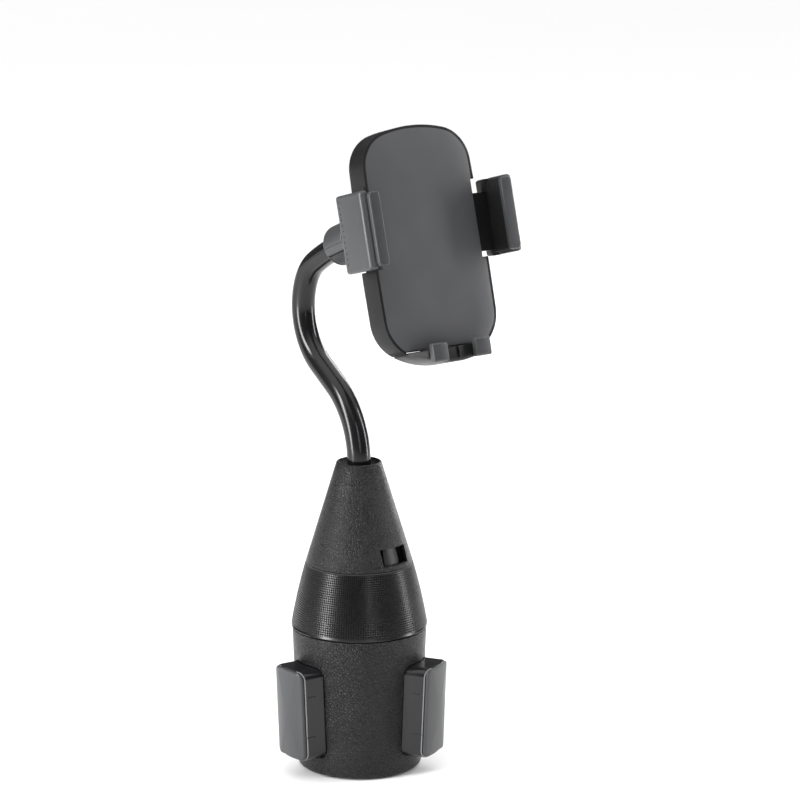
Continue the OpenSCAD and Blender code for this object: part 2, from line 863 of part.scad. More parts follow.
// row of rack teeth along +x from tooth number first, pointing to -y from the pitch line y = 0
module rack_teeth(first, count) {
    tip = tooth_pitch / 4 - tooth_play / 2 - addendum * tan(20);
    root = tooth_pitch / 4 - tooth_play / 2 + dedendum * tan(20);
    for (i = [first:first + count - 1]) translate([(i + 0.5) * tooth_pitch, 0]) {
        polygon([[-root, dedendum + 0.1], [-tip, -addendum], [tip, -addendum], [root, dedendum + 0.1]]);
    }
}

module arm_pinion() {
    tip_hw = tooth_pitch / 4 - tooth_play / 2 - addendum * tan(20);
    root_hw = tooth_pitch / 4 - tooth_play / 2 + dedendum * tan(20);
    root_r = pinion_pitch_r - dedendum;
    color([0.85, 0.85, 0.82]) at_cradle() translate([0, rack_y, rack_z[0]]) linear_extrude(2.6) {
        difference() {
            union() {
                circle(r = root_r);
                for (i = [0:pinion_teeth - 1]) rotate([0, 0, i * 360 / pinion_teeth]) {
                    polygon([
                        [root_r - 0.3, -root_hw], [pinion_pitch_r + addendum, -tip_hw],
                        [pinion_pitch_r + addendum, tip_hw], [root_r - 0.3, root_hw]
                    ]);
                }
            }
            circle(r = axle_r + fit);
        }
    }
}

// sliding bar of the right arm: a wide end outside and a rack above the pinion
module arm_slide() {
    pitch_y = rack_y + pinion_pitch_r;
    channel_l = 10.6;
    difference() {
        translate([0, 0, rack_z[0]]) linear_extrude(rack_z[1] - rack_z[0]) {
            difference() {
                translate([bar_x[0], bar_y[0]]) square([bar_x[1] - bar_x[0], bar_y[1] - bar_y[0]]);
                translate([bar_x[0] - 1, 2 * rack_y - pitch_y - dedendum - rack_t - gap]) {
                    square([channel_l + 1, rack_t + dedendum + addendum + 2 * gap]);
                }
            }
            translate([rack_x0, pitch_y + dedendum]) square([bar_x[0] - rack_x0 + 1, rack_t]);
            translate([0, pitch_y]) rack_teeth(-6, 9);
        }
        for (y = [bar_y[0] + 4, bar_y[1] - 4]) translate([arm_screw_x, y, rack_z[0] - 1]) {
            cylinder(r = pilot_r, h = 3.6);
        }
    }
}

// lug that the opening spring bears on, carried by a strip from the wide end
module spring_lug() {
    lug_z0 = spring_z - 1.8;
    lug_w = 3.4;
    translate([spring_hl, bar_y[1] - lug_w, rack_z[0]]) {
        cube([bar_x[0] - spring_hl + 1, lug_w, rack_z[1] - rack_z[0]]);
    }
    translate([spring_hl, bar_y[1] - lug_w, lug_z0]) cube([lug_t, lug_w, rack_z[0] - lug_z0 + eps]);
}

// turns the right arm's slide by half a turn about the pinion to make the left one
module half_turn() {
    translate([0, 2 * rack_y, 0]) rotate([0, 0, 180]) children();
}

module arm_slide_right() {
    color([0.04, 0.04, 0.04]) at_cradle() {
        arm_slide();
        spring_lug();
    }
}

// the left slide also has fine ratchet teeth under its rack for the pawl
module arm_slide_left() {
    step = 1.6;
    notch = [[0, -1], [0.8 * step, -1], [0.8 * step, 0], [0, 0.6]];
    color([0.04, 0.04, 0.04]) at_cradle() {
        difference() {
            half_turn() arm_slide();
            for (i = [-9:7]) translate([i * step, -25, rack_z[0]]) rotate([90, 0, 0]) {
                linear_extrude(3.4) polygon(notch);
            }
        }
        mirror([1, 0, 0]) spring_lug();
    }
}

module arm_profile() {
    corner = arm_out - lip_x[1];
    polygon(concat(
        [[arm_inner, arm_back_z + 1], [arm_inner + 1, arm_back_z]],
        arc_points([arm_out - 1.5, arm_back_z + 1.5], 1.5, -90, 0, 4),
        arc_points([arm_out - corner, lip_z[0] - corner], corner, 0, 90, 6),
        arc_points([lip_x[1] - 0.8, lip_z[1] - 0.8], 0.8, 0, 90, 3),
        arc_points([lip_x[0] + 0.8, lip_z[1] - 0.8], 0.8, 90, 180, 3),
        [[lip_x[0], lip_z[0] + 0.6], [lining_x[1], 8.8], [lining_x[1], rack_z[1] + 0.1]],
        [[bar_x[1] + 0.1, rack_z[1] + 0.1], [bar_x[1] + 0.1, rack_z[0] - 0.1], [arm_inner, rack_z[0] - 0.1]]
    ));
}

module arm_cover() {
    rotate([90, 0, 0]) translate([0, 0, -arm_y[1]]) linear_extrude(arm_y[1] - arm_y[0]) arm_profile();
}

module arm_lining() {
    rotate([90, 0, 0]) translate([0, 0, -arm_y[1] + 2]) linear_extrude(arm_y[1] - arm_y[0] - 4) polygon([
        [lining_x[0], rack_z[1] + gap], [lining_x[1], rack_z[1] + gap], [lining_x[1], 8.8],
        [lip_x[0], lip_z[0] + 0.6], [lining_x[0], 9.2]
    ]);
}

module arm_screws() {
    for (y = [bar_y[0] + 4, bar_y[1] - 4]) translate([arm_screw_x, y, arm_back_z + 1.2]) {
        rotate([180, 0, 0]) screw(1.6, 1.0, screw_r, 6.0);
    }
}

module arm_holes() {
    for (y = [bar_y[0] + 4, bar_y[1] - 4]) translate([arm_screw_x, y, arm_back_z - 1]) {
        cylinder(r = 1.2, h = 20);
        cylinder(r = 1.75, h = 2.2);
    }
}

module arm_cover_right() {
    color([0.3, 0.3, 0.31]) at_cradle() difference() {
        arm_cover();
        arm_holes();
    }
}

module arm_cover_left() {
    color([0.3, 0.3, 0.31]) at_cradle() mirror([1, 0, 0]) difference() {
        arm_cover();
        arm_holes();
    }
}

module arm_lining_right() {
    color([0.05, 0.05, 0.05]) at_cradle() arm_lining();
}

module arm_lining_left() {
    color([0.05, 0.05, 0.05]) at_cradle() mirror([1, 0, 0]) arm_lining();
}

module arm_screws_right() {
    color("silver") at_cradle() arm_screws();
}

module arm_screws_left() {
    color("silver") at_cradle() mirror([1, 0, 0]) arm_screws();
}

// one spring between the two slides' lugs opens the arms
module arm_spring() {
    color("silver") at_cradle() translate([-spring_hl, spring_y, spring_z]) rotate([0, 90, 0]) {
        ring(1.6, 1.0, 2 * spring_hl);
    }
}

module release_button() {
    color([0.3, 0.3, 0.31]) at_cradle() translate([0, button_y, 0]) {
        translate([0, 0, shell_z0 - 1.4]) linear_extrude(3.6) round_rect(18, 9, 2.5);
        translate([0, 0, shell_z0 + shell_floor + gap]) linear_extrude(button_t) round_rect(20.4, 11.4, 2.5);
    }
}

module release_spring() {
    spring_z0 = shell_z0 + shell_floor + gap + button_t;
    color("silver") at_cradle() translate([0, button_y - 2.6, spring_z0]) {
        ring(2.6, 2.0, -plate_t - spring_z0);
    }
}

// rocker that the button tips: its far end reaches up under the left slide's ratchet
module lock_pawl() {
    mid_z = (pawl_z[0] + pawl_z[1]) / 2;
    nub_drop = 0.7;
    tip_z = rack_z[0] - gap;
    color([0.8, 0.78, 0.7]) at_cradle() difference() {
        union() {
            translate([-pawl_hw, pawl_y[0], pawl_z[0]]) {
                cube([2 * pawl_hw, pawl_y[1] - pawl_y[0], pawl_z[1] - pawl_z[0]]);
            }
            translate([-pawl_hw, pivot_y, mid_z]) rotate([0, 90, 0]) cylinder(r = 2, h = 2 * pawl_hw);
            translate([-pawl_hw, pawl_y[0], pawl_z[0] - nub_drop]) cube([2 * pawl_hw, 1.5, nub_drop + eps]);
            translate([-pawl_hw, pawl_y[1] - 2, pawl_z[0]]) cube([2 * pawl_hw, 2, tip_z - pawl_z[0]]);
        }
        translate([-pawl_hw - 1, pivot_y, mid_z]) rotate([0, 90, 0]) {
            cylinder(r = pivot_r + fit, h = 2 * pawl_hw + 2);
        }
    }
}

module pawl_pin() {
    color("silver") at_cradle() translate([-6.5, pivot_y, (pawl_z[0] + pawl_z[1]) / 2]) {
        rotate([0, 90, 0]) cylinder(r = pivot_r, h = 13);
    }
}

module bottom_tray() {
    belly_r = 44.5;
    belly_y = -36.3;
    color([0.07, 0.07, 0.08]) at_cradle() {
        for (x = [tongue_x[0], -tongue_x[1]]) translate([x, tray_y[0] + 3, rack_z[0]]) {
            cube([tongue_x[1] - tongue_x[0], 32, rack_z[1] - rack_z[0]]);
        }
        // body with a bowed underside, narrower in front of the face
        intersection() {
            translate([0, 0, -12.4]) linear_extrude(30) intersection() {
                translate([0, belly_y]) circle(r = belly_r, $fn = 256);
                translate([-tray_hw, -90]) square([2 * tray_hw, 90 + tray_y[1]]);
            }
            translate([0, -70, 0]) rotate([90, 0, 0]) linear_extrude(20) polygon([
                [-tray_hw, -12.4], [tray_hw, -12.4], [tray_hw, -2], [prong_x[1] + 0.5, prong_z[0]],
                [-prong_x[1] - 0.5, prong_z[0]], [-tray_hw, -2]
            ]);
        }
        for (x = [prong_x[0], -prong_x[1]]) translate([x, tray_y[0], prong_z[0] - 0.2]) {
            cube([prong_x[1] - prong_x[0], prong_top - tray_y[0], prong_z[1] - prong_z[0] + 0.2]);
        }
        translate([-0.4, tray_y[0], prong_z[0] - 0.5]) cube([0.8, tray_y[1] - tray_y[0], 1.3]);
    }
}

module tray_rubber() {
    color([0.04, 0.04, 0.04]) at_cradle() for (x = [prong_x[0], -prong_x[1]]) {
        translate([x, tray_y[1], 0.4]) cube([prong_x[1] - prong_x[0], 0.5, 8]);
    }
}

// ---------- what is drawn ----------

base_barrel();
bottom_cover();
rubber_base_pad();
base_screws();
guide_plate();
guide_screws();
spindle();
thrust_washer();
stem_bolt();
neck_column();
cone_shell();
grip_ring();
cam_plate();
knob_screws();
indicator_sleeve();
foot_housing(0);  // foot_housing_1
foot_housing(1);  // foot_housing_2
foot_housing(2);  // foot_housing_3
foot_pad(0);  // foot_pad_1
foot_pad(1);  // foot_pad_2
foot_pad(2);  // foot_pad_3
neck_ferrule();
neck_sheath_1();
neck_sheath_2();
neck_sheath_3();
neck_sheath_4();
neck_core_1();
neck_core_2();
neck_core_3();
neck_core_4();
neck_end_collar();
collar_grips();
neck_clamp_nut();
ball_stud();
ball_seat_rear();
ball_seat_front();
ball_lock_nut();
ball_socket();
ball_retainer();
socket_screws();
back_shell();
face_plate();
cradle_screws();
arm_pinion();
arm_slide_left();
arm_slide_right();
arm_cover_left();
arm_cover_right();
arm_lining_left();
arm_lining_right();
arm_screws_left();
arm_screws_right();
arm_spring();
release_button();
release_spring();
lock_pawl();
pawl_pin();
bottom_tray();
tray_rubber();
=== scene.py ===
import json
import math

import bmesh
import bpy
import numpy as np
from mathutils import Matrix, Vector


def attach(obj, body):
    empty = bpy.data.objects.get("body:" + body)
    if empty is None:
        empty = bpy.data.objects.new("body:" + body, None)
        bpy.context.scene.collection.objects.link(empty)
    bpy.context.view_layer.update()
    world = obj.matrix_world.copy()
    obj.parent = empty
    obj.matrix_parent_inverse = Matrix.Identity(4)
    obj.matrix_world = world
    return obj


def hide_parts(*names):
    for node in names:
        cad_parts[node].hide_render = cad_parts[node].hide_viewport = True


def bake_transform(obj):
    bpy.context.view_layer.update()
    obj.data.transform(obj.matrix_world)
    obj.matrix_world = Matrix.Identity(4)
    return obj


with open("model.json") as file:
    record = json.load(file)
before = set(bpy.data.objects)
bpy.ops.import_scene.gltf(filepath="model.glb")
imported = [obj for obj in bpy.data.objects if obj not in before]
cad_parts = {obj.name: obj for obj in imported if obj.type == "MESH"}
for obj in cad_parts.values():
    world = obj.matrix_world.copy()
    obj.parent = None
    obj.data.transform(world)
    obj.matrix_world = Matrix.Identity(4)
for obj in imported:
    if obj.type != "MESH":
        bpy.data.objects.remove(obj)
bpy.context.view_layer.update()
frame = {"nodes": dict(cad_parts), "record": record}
record = frame["record"]
nodes = frame["nodes"]
joints = {j["name"]: j for j in record["behaviour"]["joints"]}
mounts = {m["name"]: m for m in record["mounts"]}

MM = 0.001
UNIT = Matrix.Scale(MM, 4)


# ---------------------------------------------------------------- camera and studio

def make_camera():
    """Long lens, level horizon, looking down a little on the front left of the mount."""
    yaw, dip = math.radians(35.413), math.radians(12.591)
    look = Vector((math.sin(yaw) * math.cos(dip), math.cos(yaw) * math.cos(dip), -math.sin(dip)))
    data = bpy.data.cameras.new("camera")
    data.sensor_width = 36
    data.lens = 169.9
    data.clip_end = 20
    camera = bpy.data.objects.new("camera", data)
    camera.location = Vector((-0.98562, -1.41953, 0.56359))
    camera.rotation_euler = look.to_track_quat("-Z", "Y").to_euler()
    bpy.context.collection.objects.link(camera)
    bpy.context.scene.camera = camera


def softbox(name, azimuth, distance, height, size, watts):
    """Upright soft light, azimuth in degrees from +X towards +Y, aimed at the middle of the mount."""
    a = math.radians(azimuth)
    place = Vector((distance * math.cos(a), distance * math.sin(a), height))
    data = bpy.data.lights.new(name, "AREA")
    data.shape = "RECTANGLE"
    data.size, data.size_y = size
    data.energy = watts
    light = bpy.data.objects.new(name, data)
    light.location = place
    light.rotation_euler = (Vector((0, 0, 0.17)) - place).to_track_quat("-Z", "Y").to_euler()
    bpy.context.collection.objects.link(light)


def make_world():
    """Room with dim walls and a bright ceiling."""
    world = bpy.data.worlds.new("studio")
    bpy.context.scene.world = world
    world.use_nodes = True
    tree = world.node_tree
    direction = tree.nodes.new("ShaderNodeTexCoord").outputs["Generated"]
    split = tree.nodes.new("ShaderNodeSeparateXYZ")
    rise = tree.nodes.new("ShaderNodeMapRange")
    rise.interpolation_type = "SMOOTHSTEP"
    rise.inputs["From Min"].default_value = 0.45
    rise.inputs["From Max"].default_value = 0.85
    rise.inputs["To Min"].default_value = 0.1
    rise.inputs["To Max"].default_value = 1.9
    tree.links.new(direction, split.inputs["Vector"])
    tree.links.new(split.outputs["Z"], rise.inputs["Value"])
    tree.links.new(rise.outputs["Result"], tree.nodes["Background"].inputs["Strength"])
    tree.nodes["Background"].inputs["Color"].default_value = (1, 1, 1, 1)


def make_studio():
    bpy.context.scene.view_settings.view_transform = "Standard"
    make_world()
    softbox("key_left", 174, 1.3, 0.4, (0.3, 1.3), 32)
    softbox("right", 330, 1.3, 0.4, (0.2, 1.3), 14)
    softbox("front_streak", 254, 2.1, 0.8, (0.12, 1.2), 5)
    softbox("back", 28, 1.4, 0.5, (0.3, 1.2), 8)
    floor = mesh_object("floor", *grid_plane(8.0), floor_material())


def grid_plane(size):
    h = size / 2
    return [(-h, -h, 0), (h, -h, 0), (h, h, 0), (-h, h, 0)], [(0, 1, 2, 3)]


# ---------------------------------------------------------------- materials

class Graph:
    """A small helper that adds and links shader nodes."""

    def __init__(self, name):
        self.material = bpy.data.materials.new(name)
        self.material.use_nodes = True
        self.tree = self.material.node_tree
        self.shader = self.tree.nodes["Principled BSDF"]
        self.coordinates = self.tree.nodes.new("ShaderNodeTexCoord").outputs["Object"]

    def add(self, kind, **settings):
        node = self.tree.nodes.new(kind)
        for key, value in settings.items():
            setattr(node, key, value)
        return node

    def link(self, source, target):
        self.tree.links.new(source, target)

    def noise(self, period, detail=2.0, rough=0.5, stretch=None):
        """Noise whose features are about period metres across."""
        node = self.add("ShaderNodeTexNoise")
        node.inputs["Scale"].default_value = 1 / period
        node.inputs["Detail"].default_value = detail
        node.inputs["Roughness"].default_value = rough
        source = self.coordinates
        if stretch:
            mapping = self.add("ShaderNodeMapping")
            mapping.inputs["Scale"].default_value = stretch
            self.link(source, mapping.inputs["Vector"])
            source = mapping.outputs["Vector"]
        self.link(source, node.inputs["Vector"])
        return node.outputs["Fac"]

    def cells(self, period, feature="DISTANCE_TO_EDGE"):
        node = self.add("ShaderNodeTexVoronoi", feature=feature)
        node.inputs["Scale"].default_value = 1 / period
        self.link(self.coordinates, node.inputs["Vector"])
        return node.outputs["Distance"]

    def ramp(self, source, low, high, out_low, out_high):
        node = self.add("ShaderNodeMapRange")
        node.interpolation_type = "SMOOTHSTEP"
        node.inputs["From Min"].default_value = low
        node.inputs["From Max"].default_value = high
        node.inputs["To Min"].default_value = out_low
        node.inputs["To Max"].default_value = out_high
        self.link(source, node.inputs["Value"])
        return node.outputs["Result"]

    def sum(self, a, b, weight=1.0):
        node = self.add("ShaderNodeMath", operation="MULTIPLY_ADD")
        self.link(b, node.inputs[0])
        node.inputs[1].default_value = weight
        self.link(a, node.inputs[2])
        return node.outputs[0]

    def colour(self, source, dark, light):
        node = self.add("ShaderNodeMix", data_type="RGBA")
        node.inputs["A"].default_value = (*dark, 1)
        node.inputs["B"].default_value = (*light, 1)
        self.link(source, node.inputs["Factor"])
        self.link(node.outputs["Result"], self.shader.inputs["Base Color"])

    def edges(self, low=0.52, high=0.62):
        """1 along convex edges, 0 elsewhere; used to paint a highlight along them."""
        geometry = self.add("ShaderNodeNewGeometry")
        return self.ramp(geometry.outputs["Pointiness"], low, high, 0.0, 1.0)

    def roughness(self, source):
        self.link(source, self.shader.inputs["Roughness"])

    def bump(self, height, depth, strength=1.0):
        node = self.add("ShaderNodeBump")
        node.inputs["Distance"].default_value = depth
        node.inputs["Strength"].default_value = strength
        self.link(height, node.inputs["Height"])
        self.link(node.outputs["Normal"], self.shader.inputs["Normal"])


def floor_material():
    g = Graph("pale_floor")
    tone = g.noise(0.9, 3)
    g.colour(tone, (0.9, 0.9, 0.9), (0.94, 0.94, 0.94))
    g.shader.inputs["Roughness"].default_value = 0.6
    return g.material


def grained_plastic(name="grained_plastic", base=0.009):
    """Black plastic with a pebbled leather grain, its colour darkened in the creases and lightened on the
    raised bumps as painted shade and highlight of the relief.
    """
    g = Graph(name)
    pebbles = g.cells(0.0012)
    small = g.noise(0.0007, 3, 0.65)
    broad = g.noise(0.02, 3)
    crease = g.ramp(pebbles, 0.0, 0.28, 0.0, 1.0)
    height = g.sum(crease, small, 0.9)
    g.bump(height, 0.0002, 0.8)
    # colour follows the grain's height: painted shade in the creases, painted highlight on the raised bumps;
    # broad adds random tone
    painted_bump_light = g.ramp(small, 0.42, 0.62, 0.0, 1.0)
    tone = g.sum(g.ramp(crease, 0, 1, 0.0, 0.45), painted_bump_light, 0.45)
    g.colour(g.sum(tone, broad, 0.15), (base * 0.15,) * 3, (base * 2.4, base * 2.4, base * 2.5))
    g.roughness(g.ramp(broad, 0.3, 0.7, 0.3, 0.36))
    g.shader.inputs["Specular IOR Level"].default_value = 0.22
    return g.material


def satin_plastic(name, base, rough=0.4, grain=0.0002, depth=0.00001, specular=0.35):
    """Satin moulded plastic: very fine spark texture, faint flow marks and a painted highlight that lightens
    convex edges.
    """
    g = Graph(name)
    spark = g.noise(grain, 2)
    broad = g.noise(0.03, 3)
    painted_edge_highlight = g.edges()
    # convex edges are lightened in colour: a painted highlight
    tone = g.sum(g.ramp(broad, 0.3, 0.7, 0.25, 0.5), painted_edge_highlight, 0.35)
    g.colour(tone, tuple(c * 0.86 for c in base), tuple(min(1, c * 1.25) for c in base))
    g.bump(spark, depth, 0.7)
    g.roughness(g.sum(g.ramp(broad, 0.3, 0.7, rough - 0.04, rough + 0.04), spark, 0.05))
    g.shader.inputs["Specular IOR Level"].default_value = specular
    return g.material


def gloss_plastic(name, base=(0.008, 0.008, 0.009), rough=0.16):
    """Polished black plastic with faint smudges and hairline scuffs."""
    g = Graph(name)
    smudge = g.noise(0.012, 4)
    hair = g.noise(0.0006, 2, stretch=(1, 1, 9))
    g.colour(smudge, tuple(c * 0.8 for c in base), tuple(c * 1.3 for c in base))
    g.roughness(g.sum(g.ramp(smudge, 0.35, 0.7, rough - 0.03, rough + 0.06), hair, 0.03))
    g.shader.inputs["Coat Weight"].default_value = 0.15
    g.shader.inputs["Specular IOR Level"].default_value = 0.3
    g.shader.inputs["Coat Roughness"].default_value = 0.06
    return g.material


def sheath_material():
    """Smooth glossy rubber sleeve with very faint rings where it is drawn over the core."""
    g = Graph("neck_sheath")
    smudge = g.noise(0.02, 3)
    ripple = g.noise(0.004, 2)
    g.colour(smudge, (0.004, 0.004, 0.0045), (0.009, 0.009, 0.01))
    g.roughness(g.ramp(smudge, 0.3, 0.7, 0.14, 0.2))
    g.shader.inputs["Specular IOR Level"].default_value = 0.32
    g.bump(ripple, 0.00005, 0.25)
    return g.material


def rubber(name, base=0.006, rough=0.6):
    g = Graph(name)
    g.shader.inputs["Specular IOR Level"].default_value = 0.2
    dust = g.noise(0.004, 5, 0.6)
    fine = g.noise(0.00015, 2)
    g.colour(dust, (base * 0.8,) * 3, (base * 1.8,) * 3)
    g.roughness(g.ramp(dust, 0.3, 0.7, rough, rough + 0.12))
    g.bump(fine, 0.00003, 0.6)
    return g.material


def plain_moulding(name, base, rough=0.5):
    g = Graph(name)
    broad = g.noise(0.01, 4)
    fine = g.noise(0.0002, 2)
    g.colour(broad, tuple(c * 0.85 for c in base), tuple(min(1, c * 1.15) for c in base))
    g.roughness(g.ramp(broad, 0.3, 0.7, rough - 0.05, rough + 0.07))
    g.bump(fine, 0.00001, 0.5)
    return g.material


def steel(name, tone, rough, stretch=(1, 1, 12)):
    g = Graph(name)
    brushed = g.noise(0.0008, 4, 0.6, stretch=stretch)
    stain = g.noise(0.006, 3)
    g.colour(stain, tuple(c * 0.88 for c in tone), tone)
    g.shader.inputs["Metallic"].default_value = 1.0
    g.roughness(g.sum(g.ramp(stain, 0.3, 0.7, rough - 0.04, rough + 0.05), brushed, 0.12))
    g.bump(brushed, 0.00001, 0.5)
    return g.material


# ---------------------------------------------------------------- mesh tools

def mesh_object(name, verts, faces, material, sharp=35):
    mesh = bpy.data.meshes.new(name)
    mesh.from_pydata([tuple(v) for v in verts], [], faces)
    mesh.validate()
    obj = bpy.data.objects.new(name, mesh)
    bpy.context.collection.objects.link(obj)
    tidy_normals(obj)
    shade(obj, sharp)
    if material:
        mesh.materials.append(material)
    return obj


def tidy_normals(obj):
    bm = bmesh.new()
    bm.from_mesh(obj.data)
    bmesh.ops.recalc_face_normals(bm, faces=bm.faces)
    bm.to_mesh(obj.data)
    bm.free()


def shade(obj, sharp=35):
    mesh = obj.data
    mesh.polygons.foreach_set("use_smooth", [True] * len(mesh.polygons))
    mesh.set_sharp_from_angle(angle=math.radians(sharp))
    mesh.update()


def apply_modifiers(obj):
    graph = bpy.context.evaluated_depsgraph_get()
    mesh = bpy.data.meshes.new_from_object(obj.evaluated_get(graph))
    old = obj.data
    obj.modifiers.clear()
    obj.data = mesh
    bpy.data.meshes.remove(old)


def bevel(obj, width, segments=3, angle=30):
    """Rounds every edge sharper than angle, then shades the result."""
    m = obj.modifiers.new("edges", "BEVEL")
    m.width = width
    m.segments = segments
    m.limit_method = "ANGLE"
    m.angle_limit = math.radians(angle)
    m.use_clamp_overlap = True
    m.miter_outer = "MITER_ARC"
    apply_modifiers(obj)
    shade(obj)
    return obj


def cut(obj, *cutters, operation="DIFFERENCE"):
    for cutter in cutters:
        m = obj.modifiers.new("cut", "BOOLEAN")
        m.operation = operation
        m.object = cutter
        m.solver = "EXACT"
        apply_modifiers(obj)
        mesh = cutter.data
        bpy.data.objects.remove(cutter)
        bpy.data.meshes.remove(mesh)
    bm = bmesh.new()
    bm.from_mesh(obj.data)
    bmesh.ops.remove_doubles(bm, verts=bm.verts, dist=1e-7)
    bmesh.ops.dissolve_degenerate(bm, edges=bm.edges, dist=1e-7)
    bm.to_mesh(obj.data)
    bm.free()
    return obj


def arc(c, r, a0, a1, n):
    return [
        (c[0] + r * math.cos(math.radians(a0 + (a1 - a0) * i / n)),
         c[1] + r * math.sin(math.radians(a0 + (a1 - a0) * i / n)))
        for i in range(n + 1)
    ]


def rounded_rect(w, h, r, n=8):
    corners = [(w / 2 - r, h / 2 - r, 0), (-w / 2 + r, h / 2 - r, 90),
               (-w / 2 + r, -h / 2 + r, 180), (w / 2 - r, -h / 2 + r, 270)]
    points = []
    for x, y, a in corners:
        points += arc((x, y), r, a, a + 90, n)
    return points


def loft(name, loops, material, matrix=Matrix.Identity(4), closed=False, sharp=35):
    """Skin through loops of equal length. Unless closed, the first and last loops are capped."""
    count = len(loops[0])
    verts = [matrix @ Vector(p) for loop in loops for p in loop]
    faces = []
    spans = len(loops) if closed else len(loops) - 1
    for k in range(spans):
        a, b = k * count, (k + 1) % len(loops) * count
        for i in range(count):
            j = (i + 1) % count
            faces.append((a + i, a + j, b + j, b + i))
    if not closed:
        faces.append(tuple(reversed(range(count))))
        faces.append(tuple(range((len(loops) - 1) * count, len(loops) * count)))
    return mesh_object(name, verts, faces, material, sharp)


def extrude(name, outline, z0, z1, material, matrix=Matrix.Identity(4)):
    return loft(name, [[(x, y, z) for x, y in outline] for z in (z0, z1)], material, matrix)


def revolve(name, profile, material, steps=192, matrix=UNIT, sharp=35):
    """Closed profile of (radius, z) turned about the z axis."""
    loops = []
    for k in range(steps):
        turn = 2 * math.pi * k / steps
        loops.append([(r * math.cos(turn), r * math.sin(turn), z) for r, z in profile])
    return loft(name, loops, material, matrix, closed=True, sharp=sharp)


def box(x, y, z, matrix):
    outline = [(x[0], y[0]), (x[1], y[0]), (x[1], y[1]), (x[0], y[1])]
    return extrude("cutter", outline, z[0], z[1], None, matrix)


def fillet_steps(r, n):
    """Pairs (set back along the face, inset) of a quarter round from the cap outwards."""
    turns = [math.pi / 2 * i / n for i in range(n + 1)]
    return [(r * (1 - math.cos(a)), r * (1 - math.sin(a))) for a in turns]


def join(name, parts):
    """Merges objects into the first one."""
    bm = bmesh.new()
    for part in parts:
        bm.from_mesh(part.data)
    target = parts[0]
    for part in parts[1:]:
        mesh = part.data
        bpy.data.objects.remove(part)
        bpy.data.meshes.remove(mesh)
    bm.to_mesh(target.data)
    bm.free()
    target.name = name
    shade(target)
    return target


def piece(obj, body, slot, *replaced):
    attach(obj, body)
    if replaced:
        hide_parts(*replaced)
    return obj


# ---------------------------------------------------------------- frames of the main groups

def turned(azimuth):
    return Matrix.Rotation(math.radians(azimuth), 4, "Z") @ UNIT


def plane_frame(place, normal):
    """Frame whose local z is normal, local x the row's +X, in millimetres."""
    z = Vector(normal).normalized()
    x = Vector((1, 0, 0))
    y = z.cross(x)
    m = Matrix((x, y, z)).transposed().to_4x4()
    return Matrix.Translation(Vector(place)) @ m @ UNIT


CRADLE = plane_frame(mounts["phone_face"]["pos_m"], mounts["phone_face"]["axis"])
BALL = plane_frame(joints["cradle_roll"]["pos_m"], joints["cradle_roll"]["axis"])


# ---------------------------------------------------------------- base

BARREL_Z = (3.2, 68.0)
BARREL_R = (29.4, 31.85)
CONE_Z = (100.0, 148.3)
CONE_R = (25.35, 10.6)
WALL = 2.2
FOOT_ANGLES = (180, 300, 60)
FOOT_W, FOOT_Z, FOOT_CORNER = 23.3, (9.7, 53.7), 4.0
FOOT_BOW, FOOT_SLOPE, FOOT_REACH = 32, 0.041, 42.65
FOOT_GROOVES = (21.8, 41.6)
PAD_SEAT = 1.62
SKIN_OFFSET = 0.06
RIDGE = (32.3, 69.5)


def cone_r(z):
    return CONE_R[0] - (z - CONE_Z[0]) * (CONE_R[0] - CONE_R[1]) / (CONE_Z[1] - CONE_Z[0])


def barrel_r(z):
    return BARREL_R[0] + (z - BARREL_Z[0]) * (BARREL_R[1] - BARREL_R[0]) / (BARREL_Z[1] - BARREL_Z[0])


def side_points(radius_at, z0, z1, step):
    n = max(1, round(abs(z1 - z0) / step))
    return [(radius_at(z0 + (z1 - z0) * i / n), z0 + (z1 - z0) * i / n) for i in range(n + 1)]


def make_barrel(material):
    outer = side_points(barrel_r, *BARREL_Z, 8)
    inner = side_points(lambda z: barrel_r(z) - WALL, BARREL_Z[1], BARREL_Z[0], 8)
    barrel = revolve("barrel_skin", outer + inner, material)
    mid = sum(FOOT_Z) / 2
    height = FOOT_Z[1] - FOOT_Z[0]
    for angle in FOOT_ANGLES:
        side = turned(angle) @ Matrix.Translation((0, 0, mid)) @ yz_plane()
        window = rounded_rect(FOOT_W + 0.8, height + 0.8, FOOT_CORNER + 0.4)
        cut(barrel, extrude("cutter", window, 15, 40, None, side))
    bevel(barrel, 0.3 * MM, 2, 40)
    piece(barrel, "base", "grained_plastic", "base_barrel")


def yz_plane():
    """Maps local x, y, z to row y, z, x, so an outline drawn flat stands across the x axis."""
    return Matrix(((0, 0, 1, 0), (1, 0, 0, 0), (0, 1, 0, 0), (0, 0, 0, 1)))


def make_cone(material):
    top = CONE_Z[1]
    plug = 139.5
    edge = 0.5
    slope = math.degrees(math.atan2(CONE_R[0] - CONE_R[1], CONE_Z[1] - CONE_Z[0]))
    rim = arc((CONE_R[1] - edge, top - edge), edge, slope, 90, 5)
    lip_r = 9.6
    outer = side_points(cone_r, CONE_Z[0], top - edge, 6)
    mouth = [(lip_r, top)] + arc((lip_r - 0.2, top - 0.5), 0.5, 60, 0, 3)
    mouth += [(8.2, top - 2.2), (6.3, top - 3.2), (6.0, top - 4), (6.0, plug)]
    inner = [(cone_r(plug) - WALL, plug)] + side_points(lambda z: cone_r(z) - WALL, plug - 1, CONE_Z[0], 6)
    cone = revolve("cone_skin", outer + rim + mouth + inner, material)
    window = turned(-77.5)
    cut(cone, box((10, 40), (-8.2, 8.2), (102, 110), window))
    bevel(cone, 0.25 * MM, 2, 40)
    piece(cone, "base", "grained_plastic", "cone_shell")


